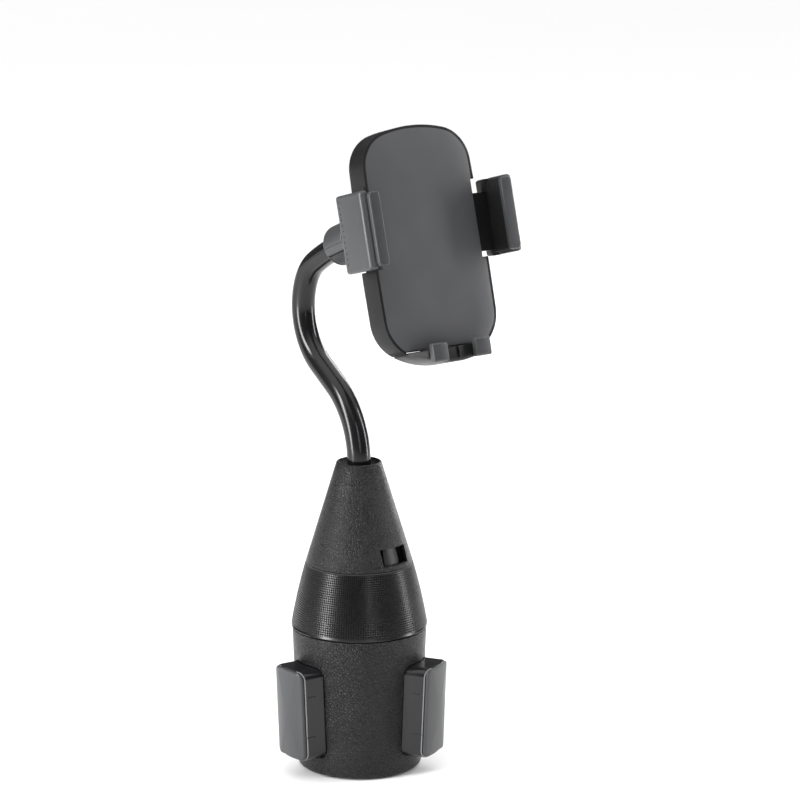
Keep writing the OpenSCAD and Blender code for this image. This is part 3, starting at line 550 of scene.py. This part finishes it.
def band_profile():
    """Bowed side of the grip ring: arc through the ridge and the seam below the cone."""
    top = (cone_r(CONE_Z[0]) + 0.1, CONE_Z[0] - 0.3)
    a, b = Vector(RIDGE), Vector(top)
    mid, span = (a + b) / 2, (b - a)
    bow = 260.0
    back = math.sqrt(bow * bow - span.length_squared / 4)
    centre = mid + Vector((-span.y, span.x)).normalized() * back
    a0 = math.degrees(math.atan2(a.y - centre.y, a.x - centre.x))
    a1 = math.degrees(math.atan2(b.y - centre.y, b.x - centre.x))
    return (centre.x, centre.y), bow, a0, a1


def make_grip_ring(material):
    """Square knurl as real relief: rows of raised pads round the bowed band."""
    rows, columns = 28, 170
    relief = 0.36
    centre, bow, a0, a1 = band_profile()
    marks = []
    for k in range(rows):
        marks += [(k + 0.10, 1.0), (k + 0.72, 1.0), (k + 0.91, 0.0)]
    marks = [(0.0, 0.0)] + marks
    loops = []
    steps = []
    for k in range(columns):
        steps += [(k + 0.0, 1.0), (k + 0.62, 1.0), (k + 0.81, 0.0)]
    start = [(19, 68.3), (BARREL_R[1] - 0.2, 68.3), (RIDGE[0] - 0.3, RIDGE[1] - 0.9),
             (RIDGE[0], RIDGE[1] - 0.4)]
    top_r, top_z = cone_r(CONE_Z[0]) + 0.1, CONE_Z[0] - 0.3
    end = [(top_r - 0.1, top_z), (top_r - 2.2, top_z), (top_r - 1.2, 95), (20.5, 95), (20.5, 92.5),
           (top_r - 0.4, 92.5), (RIDGE[0] - 3.6, 74), (RIDGE[0] - 3.6, 70.8), (19, 70.8)]
    plain = 0.6
    for column, raised_c in steps:
        turn = 2 * math.pi * column / columns
        loop = [(r, z) for r, z in start]
        for mark, raised_r in marks:
            share = (plain + mark) / (rows + plain + 0.5)
            a = math.radians(a0 + (a1 - a0) * share)
            sink = relief * (1 - raised_r * raised_c)
            loop.append((centre[0] + (bow - sink) * math.cos(a), centre[1] + (bow - sink) * math.sin(a)))
        loop += end
        loops.append([(r * math.cos(turn), r * math.sin(turn), z) for r, z in loop])
    ring = loft("knurled_ring", loops, material, UNIT, closed=True, sharp=50)
    piece(ring, "knob", "knurled_plastic", "grip_ring")


def foot_face(y, z):
    """Distance from the mount's axis to a foot's bowed face."""
    r = FOOT_BOW + (z - 50) * FOOT_SLOPE
    return FOOT_REACH - FOOT_BOW + math.sqrt(r * r - y * y)


def foot_loops(depth_out, depth_in, shrink, edge_out, edge_in, flat_back=None):
    """Loops of a foot slab from its back to its bowed face, with both edges rounded."""
    w, h = FOOT_W - 2 * shrink, FOOT_Z[1] - FOOT_Z[0] - shrink
    mid = sum(FOOT_Z) / 2
    loops = []

    def loop(inset, depth=None, x=None):
        points = rounded_rect(w - 2 * inset, h - 2 * inset, FOOT_CORNER - shrink - inset * 0.9, 10)
        return [((foot_face(y, z + mid) - depth) if x is None else x, y, z + mid) for y, z in points]

    if flat_back is None:
        loops += [loop(i, depth_in - s) for s, i in fillet_steps(edge_in, 4)]
    else:
        loops += [loop(0, x=flat_back)]
    loops += [loop(i, depth_out + s) for s, i in reversed(fillet_steps(edge_out, 6))]
    return loops


def foot_ring(inset, depth):
    """One outline of the thin light-grey ring round a foot's pad: a painted highlight standing in for the lit
    rounded edge of the housing.
    """
    mid = sum(FOOT_Z) / 2
    points = rounded_rect(FOOT_W - 2 * inset, FOOT_Z[1] - FOOT_Z[0] - 2 * inset, FOOT_CORNER - inset, 10)
    return [(foot_face(y, z + mid) - depth, y, z + mid) for y, z in points]


def cap_rings(loops, count, depth_at):
    """Adds shrinking rings inside the last loop so that its cap follows a bowed face."""
    last = loops[-1]
    cy = sum(p[1] for p in last) / len(last)
    cz = sum(p[2] for p in last) / len(last)
    for k in range(1, count):
        s = 1 - k / count
        ring = []
        for _, y, z in last:
            yy, zz = cy + (y - cy) * s, cz + (z - cz) * s
            ring.append((foot_face(yy, zz) - depth_at, yy, zz))
        loops.append(ring)
    return loops


def make_feet(housing_material, pad_material, painted_highlight_material, seam_material):
    letters = "abc"
    for i, angle in enumerate(FOOT_ANGLES):
        m = turned(angle)
        body = "foot_" + letters[i]
        housing = loft(f"foot_shell_{letters[i]}", cap_rings(
            foot_loops(PAD_SEAT, None, -SKIN_OFFSET, 0.7, 0, flat_back=21), 6, PAD_SEAT), housing_material, m)
        piece(housing, body, "gloss_black")
        seams = [box((33, 37.9), (y - 0.09, y + 0.09), (z - 0.22, z + 0.22), m)
                 for z in FOOT_GROOVES for y in (-FOOT_W / 2, FOOT_W / 2)]
        seams = join(f"foot_seams_{letters[i]}", seams)
        seams.data.materials.clear()
        seams.data.materials.append(seam_material)
        piece(seams, body, "matte_black")
        # light-grey ring round the pad: a painted highlight for the housing's lit rounded edge
        line = loft(f"foot_edge_{letters[i]}", [
            foot_ring(0.12, 2.0), foot_ring(0.12, 1.5), foot_ring(0.24, 1.32), foot_ring(0.4, 1.32),
            foot_ring(0.5, 1.5), foot_ring(0.5, 2.0)], painted_highlight_material, m, closed=True)
        piece(line, body, "satin_grey")
        pad = loft(f"foot_face_{letters[i]}", cap_rings(
            foot_loops(0.0, 1.6, 0.9, 0.7, 0.2), 8, 0.0), pad_material, m)
        piece(pad, body, "satin_grey", f"foot_pad_{i + 1}")


# ---------------------------------------------------------------- gooseneck

SHEATH_R = 5.6
END = -67.0
STRAIGHT = 15.0
# radius (negative where it bends back) and heading at its end for each bend; None is the straight stretch
ROUTE = ((40.0, 58.0), (None, STRAIGHT), (-31.0, -25.0), (-23.0, -57.0), (-125.0, END))
NECK_START = 140.0
NECK_BASE = 147.5


def neck_path(step=0.9):
    """Points (y, z, heading) along the neck's middle line, heading in degrees from +Z towards +Y."""
    pts = []
    y, z = 0.0, NECK_START
    n = max(1, round((NECK_BASE - z) / step))
    for k in range(n):
        pts.append((y, z + (NECK_BASE - NECK_START) * k / n, 0.0))
    place, heading = np.array([0.0, NECK_BASE]), 0.0
    for radius, until in ROUTE:
        if radius is None:
            n = round(until / step)
            d = np.array([math.sin(math.radians(heading)), math.cos(math.radians(heading))])
            for k in range(n):
                p = place + d * until * k / n
                pts.append((p[0], p[1], heading))
            place = place + d * until
            continue
        turn = until - heading
        n = max(2, round(abs(math.radians(turn) * radius) / step))
        left = np.array([-math.cos(math.radians(heading)), math.sin(math.radians(heading))])
        centre = place - left * radius
        for k in range(n):
            a = heading + turn * k / n
            side = np.array([-math.cos(math.radians(a)), math.sin(math.radians(a))])
            p = centre + side * radius
            pts.append((p[0], p[1], a))
        heading = until
        side = np.array([-math.cos(math.radians(heading)), math.sin(math.radians(heading))])
        place = centre + side * radius
    for k in range(4):
        d = np.array([math.sin(math.radians(heading)), math.cos(math.radians(heading))])
        p = place + d * k
        pts.append((p[0], p[1], heading))
    return pts, place


NECK, NECK_END = neck_path()


def nearest_index(place):
    target = (place[1] / MM, place[2] / MM)
    return min(range(len(NECK)), key=lambda k: math.dist(NECK[k][:2], target))


def tube(name, i0, i1, material, sides=56):
    loops = []
    for y, z, a in NECK[i0:i1 + 1]:
        ny, nz = -math.cos(math.radians(a)), math.sin(math.radians(a))
        loops.append([
            (SHEATH_R * math.cos(2 * math.pi * k / sides),
             y + SHEATH_R * math.sin(2 * math.pi * k / sides) * ny,
             z + SHEATH_R * math.sin(2 * math.pi * k / sides) * nz)
            for k in range(sides)
        ])
    return loft(name, loops, material, UNIT)


def make_neck(material):
    j1 = nearest_index(joints["neck_bend_low"]["pos_m"])
    j2 = nearest_index(joints["neck_lean_side"]["pos_m"])
    j3 = nearest_index(joints["neck_bend_high"]["pos_m"])
    cuts = [0, (j1 + j2) // 2, (j2 + j3) // 2, len(NECK) - 1]
    plan = [
        ("neck_tube_low", "base", "neck_low", j1, 14, ("neck_sheath_1", "neck_sheath_2")),
        ("neck_tube_mid", "neck_low", "neck_mid", j2, 14, ("neck_sheath_3",)),
        ("neck_tube_top", "neck_mid", "neck_top", j3, 18, ("neck_sheath_4",)),
    ]
    for k, (name, a, b, joint, reach, replaced) in enumerate(plan):
        obj = tube(name, cuts[k], cuts[k + 1], material)
        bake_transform(obj)
        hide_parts(*replaced)


# ---------------------------------------------------------------- collar

COLLAR_R, COLLAR_L = 9.7, 17.0


def collar_frame():
    a = math.radians(END)
    return plane_frame((0, NECK_END[0] * MM, NECK_END[1] * MM), (0, math.sin(a), math.cos(a)))


GRIP_ARC = (211.0, 263.0)


def collar_radius(turn, z, r):
    """Radius of the collar, sunk under the two knurled fields and in the seams beside them."""
    side = turn if turn < 270 else 540 - turn
    if 1.9 < z < COLLAR_L - 1.4 and GRIP_ARC[0] < side < GRIP_ARC[1]:
        return r - 0.45
    if 186.5 < side < 187.6 and z > 1.2:
        return r - 0.3
    return r


def make_collar(shell_material, grip_material, dark_material):
    m = collar_frame()
    edge = 1.8
    outer = arc((COLLAR_R - edge, edge), edge, -90, 0, 7)
    outer += [(COLLAR_R, z) for z in (1.85, 1.95, 6, 10, COLLAR_L - 1.45, COLLAR_L - 1.35, COLLAR_L - 0.6)]
    outer += arc((COLLAR_R - 0.6, COLLAR_L - 0.6), 0.6, 0, 90, 3)
    profile = [(SHEATH_R, 0.0)] + outer + [(4, COLLAR_L), (4, 7), (SHEATH_R, 7)]
    edges = (186.5, 187.6, 210.8, 263.2, 276.8, 329.2, 352.4, 353.5)
    marks = sorted({k * 3.0 for k in range(120)} | {a + d for a in edges for d in (-0.15, 0.15)})
    loops = []
    for turn in marks:
        a = math.radians(turn)
        loop = [(r if r < 7.5 else collar_radius(turn, z, r), z) for r, z in profile]
        loops.append([(r * math.cos(a), r * math.sin(a), z) for r, z in loop])
    shell = loft("collar_shell", loops, shell_material, m, closed=True)
    piece(shell, "neck_top", "satin_grey", "neck_end_collar")
    panels = [brick_panel(side, m, grip_material) for side in (-1, 1)]
    piece(join("collar_knurls", panels), "neck_top", "satin_grey", "collar_grips")
    # dark bars along the collar: painted shade standing in for the shadow inside a groove
    seams = []
    for side in (-1, 1):
        a = math.radians(209.6)
        place = Matrix.Translation((side * math.cos(a) * 9.55, math.sin(a) * 9.55, 0))
        seams.append(box((-0.3, 0.3), (-0.3, 0.3), (0.9, COLLAR_L - 0.3), m @ place))
    dark = join("collar_groove_shade", seams)
    dark.data.materials.clear()
    dark.data.materials.append(dark_material)
    piece(dark, "neck_top", "matte_black")


def brick_panel(side, m, material):
    """Rows of small raised bricks round the collar's lower flank."""
    verts, faces = [], []
    rows, columns = 9, 10
    z0, z1 = 2.3, COLLAR_L - 1.8
    dt, dz = (GRIP_ARC[1] - GRIP_ARC[0] - 3) / rows, (z1 - z0) / columns
    for row in range(rows):
        for column in range(columns):
            zc = z0 + (column + 0.5 + (0.5 if row % 2 else 0)) * dz
            if zc + dz / 2 > z1 + 0.01:
                continue
            mid = GRIP_ARC[0] + 1.5 + (row + 0.5) * dt
            base = len(verts)
            for r, half in ((9.15, 0.46), (9.5, 0.4), (9.66, 0.27)):
                for st, sz in ((-1, -1), (1, -1), (1, 1), (-1, 1)):
                    a = math.radians(mid + st * dt * half)
                    corner = (side * r * math.cos(a), r * math.sin(a), zc + sz * dz * half)
                    verts.append(m @ Vector(corner))
            for k in (0, 4):
                for q in range(4):
                    a, b = base + k + q, base + k + (q + 1) % 4
                    faces.append((a, b, b + 4, a + 4))
            faces.append(tuple(base + 8 + q for q in range(4)))
            faces.append(tuple(base + q for q in (3, 2, 1, 0)))
    return mesh_object("panel", verts, faces, material)


def ribbed_ring(name, m, r_out, r_in, z0, z1, ribs, rib_h, material, edge=0.8, duty=0.5):
    """Ring whose outside carries soft ribs that fade into rounded ends."""
    steps = ribs * 12
    loops = []
    ends = fillet_steps(edge, 4)
    for k in range(steps):
        a = 2 * math.pi * k / steps
        wave = 0.5 + 0.5 * math.cos(ribs * a)
        lift = rib_h * min(1.0, max(0.0, (wave - (1 - duty)) * 3 + 0.5))
        profile = [(r_in, z0)]
        profile += [(r_out + lift * (1 - i / edge) - i, z0 + s) for s, i in ends]
        profile += [(r_out + lift * (1 - i / edge) - i, z1 - s) for s, i in reversed(ends)]
        profile += [(r_in, z1)]
        loops.append([(r * math.cos(a), r * math.sin(a), z) for r, z in profile])
    return loft(name, loops, material, m, closed=True)


def make_nuts(material):
    clamp = ribbed_ring("clamp_nut_skin", collar_frame(), 8.8, 4.0, 17.3, 23.0, 24, 0.5, material, 0.5)
    piece(clamp, "neck_top", "matte_black", "neck_clamp_nut")
    nut = ribbed_ring("lock_nut_skin", BALL, 14.0, 12.05, -6.3, 4.8, 18, 0.9, material, 1.2)
    lip = revolve("lip", [(8.4, -8.2)] + arc((12.6, -6.8), 1.4, -90, 0, 5) + [(14.0, -5.6), (12.4, -5.6),
                  (12.0, -6.3), (8.4, -6.3)], material, 144, BALL)
    piece(join("lock_nut_skin", [nut, lip]), "lock_nut", "matte_black", "ball_lock_nut")


# ---------------------------------------------------------------- cradle

PLATE_T = 1.8
SHELL_BACK = -14.0
NOTCH_X, NOTCH_Y = 27.9, (-35.2, 0.8)
ARM_OUT, ARM_IN, ARM_Y = 42.19, 36.4, (-35.2, 0.2)
LIP_X, LIP_Z = (33.6, 39.4), (12.4, 14.9)
ARM_BACK = -9.75


def half_outline(inset):
    return (arc((12.6, -58.5), 18.6 - inset, -78, -0.64, 16)
            + arc((-68.6, -40), 100 - inset, -0.4, 1.9, 3)
            + arc((12.6, 9.5), 17.0 - inset, 2.15, 75.6, 18)
            + arc((0, -39.5), 67.6 - inset, 77, 88, 7))


def outline(inset):
    half = half_outline(inset)
    return half + [(-x, y) for x, y in reversed(half)]


def make_face_plate(material):
    """Softly crowned plate: its middle lies on the phone plane and its edges fall away."""
    rim = 0.55
    loops = [[(x, y, -PLATE_T) for x, y in outline(rim)]]
    profile = [(rim, -1.75), (rim, -1.55), (rim + 0.12, -1.3), (rim + 0.4, -1.1), (rim + 1.0, -0.92),
               (rim + 2.2, -0.7), (rim + 4, -0.45), (rim + 6.5, -0.22), (rim + 9.5, -0.06), (rim + 12.5, 0.0)]
    for inset, z in profile:
        loops.append([(x, y, z) for x, y in outline(inset)])
    plate = loft("face_skin", loops, material, CRADLE)
    for side in (-1, 1):
        x = sorted((side * NOTCH_X, side * 45))
        cut(plate, box(x, NOTCH_Y, (-5, 5), CRADLE))
    cut(plate, box((-45, 45), (-95, -73.2), (-5, 5), CRADLE))
    bevel(plate, 0.3 * MM, 3, 42)
    piece(plate, "cradle", "satin_grey", "face_plate")


def make_back_shell(material, dark_material):
    wall = 1.8
    edge = 2.0
    loops = [[(x, y, -1.0) for x, y in outline(0)]]
    for s, i in reversed(fillet_steps(edge, 8)):
        loops.append([(x, y, SHELL_BACK + s) for x, y in outline(i)])
    loops.append([(x, y, SHELL_BACK) for x, y in outline(edge + 5)])
    shell = loft("back_skin", loops, material, CRADLE)
    inner = [[(x, y, z) for x, y in outline(wall)] for z in (SHELL_BACK + wall, 2)]
    cut(shell, loft("cutter", inner, None, CRADLE))
    for side in (-1, 1):
        cut(shell, box(sorted((side * NOTCH_X, side * 45)), NOTCH_Y, (-20, 5), CRADLE))
    cut(shell, box((-22.0, 22.0), (-95, -73.5), (-20, 5), CRADLE))
    walls = []
    for side in (-1, 1):
        x = sorted((side * NOTCH_X, side * (NOTCH_X - wall)))
        for y in ((NOTCH_Y[0] - wall, -32.9), (-5.5, NOTCH_Y[1] + wall)):
            walls.append(box(x, y, (SHELL_BACK + 0.6, -1.9), CRADLE))
        walls.append(box(x, (-33.5, -5), (SHELL_BACK + 0.6, -5.35), CRADLE))
        outer = sorted((side * NOTCH_X, side * 30.2))
        walls.append(box(outer, (NOTCH_Y[1], NOTCH_Y[1] + wall), (SHELL_BACK + 2.5, -1.9), CRADLE))
        walls.append(box(outer, (NOTCH_Y[0] - wall, NOTCH_Y[0]), (SHELL_BACK + 2.5, -1.9), CRADLE))
    walls.append(box((-22, 22), (-72.6, -70.8), (SHELL_BACK + 1.5, -5.4), CRADLE))
    well = rounded_rect(18.6, 9.6, 2.8)
    button_y = -52
    cut(shell, extrude("cutter", [(x, y + button_y) for x, y in well], -20, -12, None, CRADLE))
    for x in (-18, 18):
        for y in (15, -62):
            cut(shell, extrude("cutter", [(x + px, y + py) for px, py in arc((0, 0), 2.4, 0, 345, 23)],
                               -20, -12.9, None, CRADLE))
    bevel(shell, 0.35 * MM, 3, 42)
    shell = join("back_skin", [shell] + walls)
    piece(shell, "cradle", "inner_plastic", "back_shell")
    frame_loops = []
    for grow, rise in ((0, 0.3), (0, -0.25), (-0.35, -0.5), (-0.9, -0.5), (-1.2, -0.2), (-1.25, 0.3)):
        ring = rounded_rect(21.2 + 2 * grow, 12.2 + 2 * grow, 4.2 + grow)
        frame_loops.append([(x, y + button_y, SHELL_BACK + rise) for x, y in ring])
    bezel = loft("button_bezel", frame_loops, dark_material, CRADLE, closed=True)
    piece(bezel, "cradle", "matte_black")


def make_button(material):
    button_y = -52
    loops = [[(x, y + button_y, -10.7) for x, y in rounded_rect(20.4, 11.4, 2.5)],
             [(x, y + button_y, -11.9) for x, y in rounded_rect(20.4, 11.4, 2.5)],
             [(x, y + button_y, -11.9) for x, y in rounded_rect(18, 9, 2.5)]]
    for s, i in reversed(fillet_steps(0.9, 5)):
        ring = rounded_rect(18 - 2 * i, 9 - 2 * i, 2.5 - i)
        loops.append([(x, y + button_y, SHELL_BACK - 1.4 + s) for x, y in ring])
    loops.append([(x, y + button_y, SHELL_BACK - 1.1) for x, y in rounded_rect(12, 4, 1.2)])
    button = loft("button_cap", loops, material, CRADLE)
    piece(button, "button", "satin_grey", "release_button")


def arm_profile():
    """Cross-section of an arm's cover in (x, z): back flange, bulging outer wall and rounded front edge."""
    corner = ARM_OUT - LIP_X[1] + 0.1
    return ([(ARM_IN, ARM_BACK + 1.2)] + arc((ARM_IN + 1.2, ARM_BACK + 1.2), 1.2, 180, 270, 4)
            + arc((ARM_OUT - 2.4, ARM_BACK + 2), 2.0, -90, 0, 8)
            + [(ARM_OUT - 0.15, -4.0), (ARM_OUT, 1.5), (ARM_OUT - 0.03, 6.0)]
            + arc((ARM_OUT - corner, LIP_Z[0] - corner), corner - 0.05, 5, 90, 8)
            + [(38.9, 12.1), (38.4, 11.4), (38.2, 8.8), (38.2, -1.9), (40.7, -1.9), (40.7, -5.1),
               (ARM_IN, -5.1)])


def pillow_ends(profile, centre, half, y0, y1, r, n=7):
    """Loops of a profile in (x, z) along y, drawn in towards its centre at both ends."""
    loops = []
    stations = [(y0 + s, i) for s, i in fillet_steps(r, n)]
    stations += [(y1 - s, i) for s, i in reversed(fillet_steps(r, n))]
    for y, inset in stations:
        sx, sz = 1 - inset / half[0], 1 - inset / half[1]
        loop = [(centre[0] + (x - centre[0]) * sx, y, centre[1] + (z - centre[1]) * sz) for x, z in profile]
        loops.append(loop)
    return loops


def make_arm(side, name, shell_material, dark_material, lip_material):
    m = CRADLE @ Matrix.Scale(side, 4, Vector((1, 0, 0)))
    body = "arm_" + name
    shell = loft(f"arm_shell_{name}", pillow_ends(arm_profile(), (39.3, 1.5), (2.9, 11.2), *ARM_Y, 1.3),
                 shell_material, m, sharp=42)
    dimples = []
    for k in range(12):
        y = -31.0 + k * 2.55
        ring = [(ARM_OUT + 1, y + 0.42 * math.cos(t * math.pi / 6), -6.4 + 0.42 * math.sin(t * math.pi / 6))
                for t in range(12)]
        deep = [(ARM_OUT - 0.6, p[1], p[2]) for p in ring]
        dimples.append(loft("cutter", [ring, deep], None, m))
    cut(shell, join("cutter", dimples))
    shade(shell, 42)
    piece(shell, body, "satin_grey", f"arm_cover_{name}")
    tab = loft(f"arm_tab_{name}", [
        [(ARM_OUT - 1.4 + lift, y, z) for y, z in
         [(px - 18.7, py + ARM_BACK + 2.3) for px, py in rounded_rect(4.3 - 2 * i, 1.7 - 2 * i, 0.5)]]
        for lift, i in ((0, 0), (0.85, 0), (1.0, 0.15))], shell_material, m)
    piece(tab, body, "satin_grey")
    filler = [(38.15, -1.9), (38.15, 8.8), (38.35, 11.4), (38.9, 12.2), (38.9, 13.2), (34.8, 13.2),
              (34.2, 12.9),
              (LIP_X[0] + 0.3, LIP_Z[0] + 0.3), (35.9, 9.4), (35.9, -1.8)]
    filler_loops = pillow_ends(filler, (37, 4), (3, 11), ARM_Y[0] + 1.3, ARM_Y[1] - 1.3, 0.8, 4)
    core = loft(f"arm_core_{name}", filler_loops, dark_material, m)
    piece(core, body, "black_rubber", f"arm_lining_{name}")
    w, h = LIP_X[1] - LIP_X[0], ARM_Y[1] - ARM_Y[0] - 2.0
    cx, cy = sum(LIP_X) / 2, sum(ARM_Y) / 2
    lip = loft(f"arm_lip_{name}", [
        [(x + cx, y + cy, z) for x, y in rounded_rect(w - 2 * i, h - 2 * i, 1.9 - i * 0.8)]
        for z, i in [(12.55, 0.0)] + [(LIP_Z[1] - s, i) for s, i in reversed(fillet_steps(0.8, 6))]
    ], lip_material, m)
    piece(lip, body, "satin_grey")


def make_tray(material, prong_material, rubber_material):
    tray_y, top_y, prong_top = -79.9, -73.9, -71.3
    front = 8.6
    # height, half width there, and how far the bowed underside is drawn in
    stations = [(-12.4, 20.9, 0.9), (-12.1, 21.3, 0.4), (-11.5, 21.6, 0.0), (-2.0, 21.6, 0.0),
                (0.5, 20.6, 0.0), (3.5, 19.0, 0.0), (6.3, 17.5, 0.0), (7.6, 16.8, 0.3), (8.3, 16.4, 0.9),
                (8.55, 16.1, 1.6), (8.6, 15.9, 2.4)]
    loops = []
    for z, half, lift in stations:
        bottom = []
        for k in range(25):
            x = -half + 2 * half * k / 24
            y = -36.3 - math.sqrt((44.5 - lift) ** 2 - x * x)
            bottom.append((x, min(y, top_y - 0.6), z))
        loops.append(bottom + [(half, top_y - 0.4, z), (half - 0.4, top_y, z), (-half + 0.4, top_y, z),
                               (-half, top_y - 0.4, z)])
    back = loft("tray_skin", loops, material, CRADLE)
    turn = Matrix(((0, 0, 1, 0), (0, 1, 0, 0), (1, 0, 0, 0), (0, 0, 0, 1)))
    tongues = [box((x, x + 4.4), (-76.6, -44.6), (-5.0, -2.2), CRADLE) for x in (4.6, -9.0)]
    rib = box((-0.4, 0.4), (tray_y + 0.6, top_y), (front - 0.4, front + 0.7), CRADLE)
    bevel(rib, 0.2 * MM, 3, 40)
    piece(join("tray_skin", [back, rib] + tongues), "tray", "matte_black", "bottom_tray")
    prongs = []
    for x0, x1 in ((7.8, 15.9), (-15.9, -7.8)):
        face = [(front - 0.5, tray_y), (11.3, tray_y), (11.9, tray_y + 0.7), (11.9, prong_top - 1.4)]
        face += arc((10.7, prong_top - 1.2), 1.2, 0, 90, 5) + [(9.2, prong_top), (front, prong_top - 0.7)]
        prong = extrude("prong", face, x0, x1, prong_material, CRADLE @ turn)
        prongs.append(bevel(prong, 0.4 * MM, 3, 40))
    piece(join("tray_prongs", prongs), "tray", "satin_grey")
    pads = []
    for x0, x1 in ((7.8, 15.9), (-15.9, -7.8)):
        pad = box((x0 + 0.3, x1 - 0.3), (top_y - 0.1, top_y + 0.5), (0.4, 8.2), CRADLE)
        pads.append(bevel(pad, 0.2 * MM, 2))
    pads = join("tray_pads", pads)
    pads.data.materials.clear()
    pads.data.materials.append(rubber_material)
    piece(pads, "tray", "black_rubber", "tray_rubber")


# ---------------------------------------------------------------- carried-over parts

def dress(materials):
    """Gives each shown CAD node the material of its slot."""
    for row in record["subparts"]:
        obj = nodes[row["node"]]
        obj.data.materials.clear()
        obj.data.materials.append(materials[row["material_slot"]])


def build():
    materials = {
        "grained_plastic": grained_plastic(),
        "knurled_plastic": satin_plastic("knurled_plastic", (0.006, 0.006, 0.0065), 0.26, specular=0.4),
        "satin_grey": satin_plastic("satin_grey", (0.042, 0.043, 0.045), 0.32),
        "gloss_black": gloss_plastic("gloss_black"),
        "matte_black": satin_plastic("matte_black", (0.007, 0.007, 0.0075), 0.4, specular=0.2),
        "black_rubber": rubber("black_rubber"),
        "sheath": sheath_material(),
        "inner_plastic": satin_plastic("inner_plastic", (0.008, 0.008, 0.0085), 0.34, specular=0.2),
        "acetal": plain_moulding("acetal", (0.62, 0.6, 0.53)),
        "zinc_steel": steel("zinc_steel", (0.62, 0.62, 0.63), 0.3),
        "spring_steel": steel("spring_steel", (0.5, 0.5, 0.52), 0.22),
    }
    # light-grey material of the ring round each foot pad: a painted highlight
    painted_highlight_line = satin_plastic("foot_edge_line", (0.16, 0.16, 0.165), 0.25)
    face = satin_plastic("face_grey", (0.068, 0.069, 0.072), 0.4, specular=0.2)
    make_camera()
    dress(materials)
    make_barrel(materials["grained_plastic"])
    make_cone(materials["grained_plastic"])
    make_grip_ring(materials["knurled_plastic"])
    make_feet(materials["gloss_black"], materials["satin_grey"], painted_highlight_line, materials["matte_black"])
    make_neck(materials["sheath"])
    make_collar(materials["satin_grey"], materials["satin_grey"], materials["matte_black"])
    make_nuts(materials["matte_black"])
    make_face_plate(face)
    make_back_shell(materials["inner_plastic"], materials["matte_black"])
    make_button(materials["satin_grey"])
    for side, name in ((-1, "left"), (1, "right")):
        make_arm(side, name, materials["satin_grey"], materials["black_rubber"], materials["satin_grey"])
    make_tray(materials["matte_black"], materials["satin_grey"], materials["black_rubber"])
    make_studio()


build()
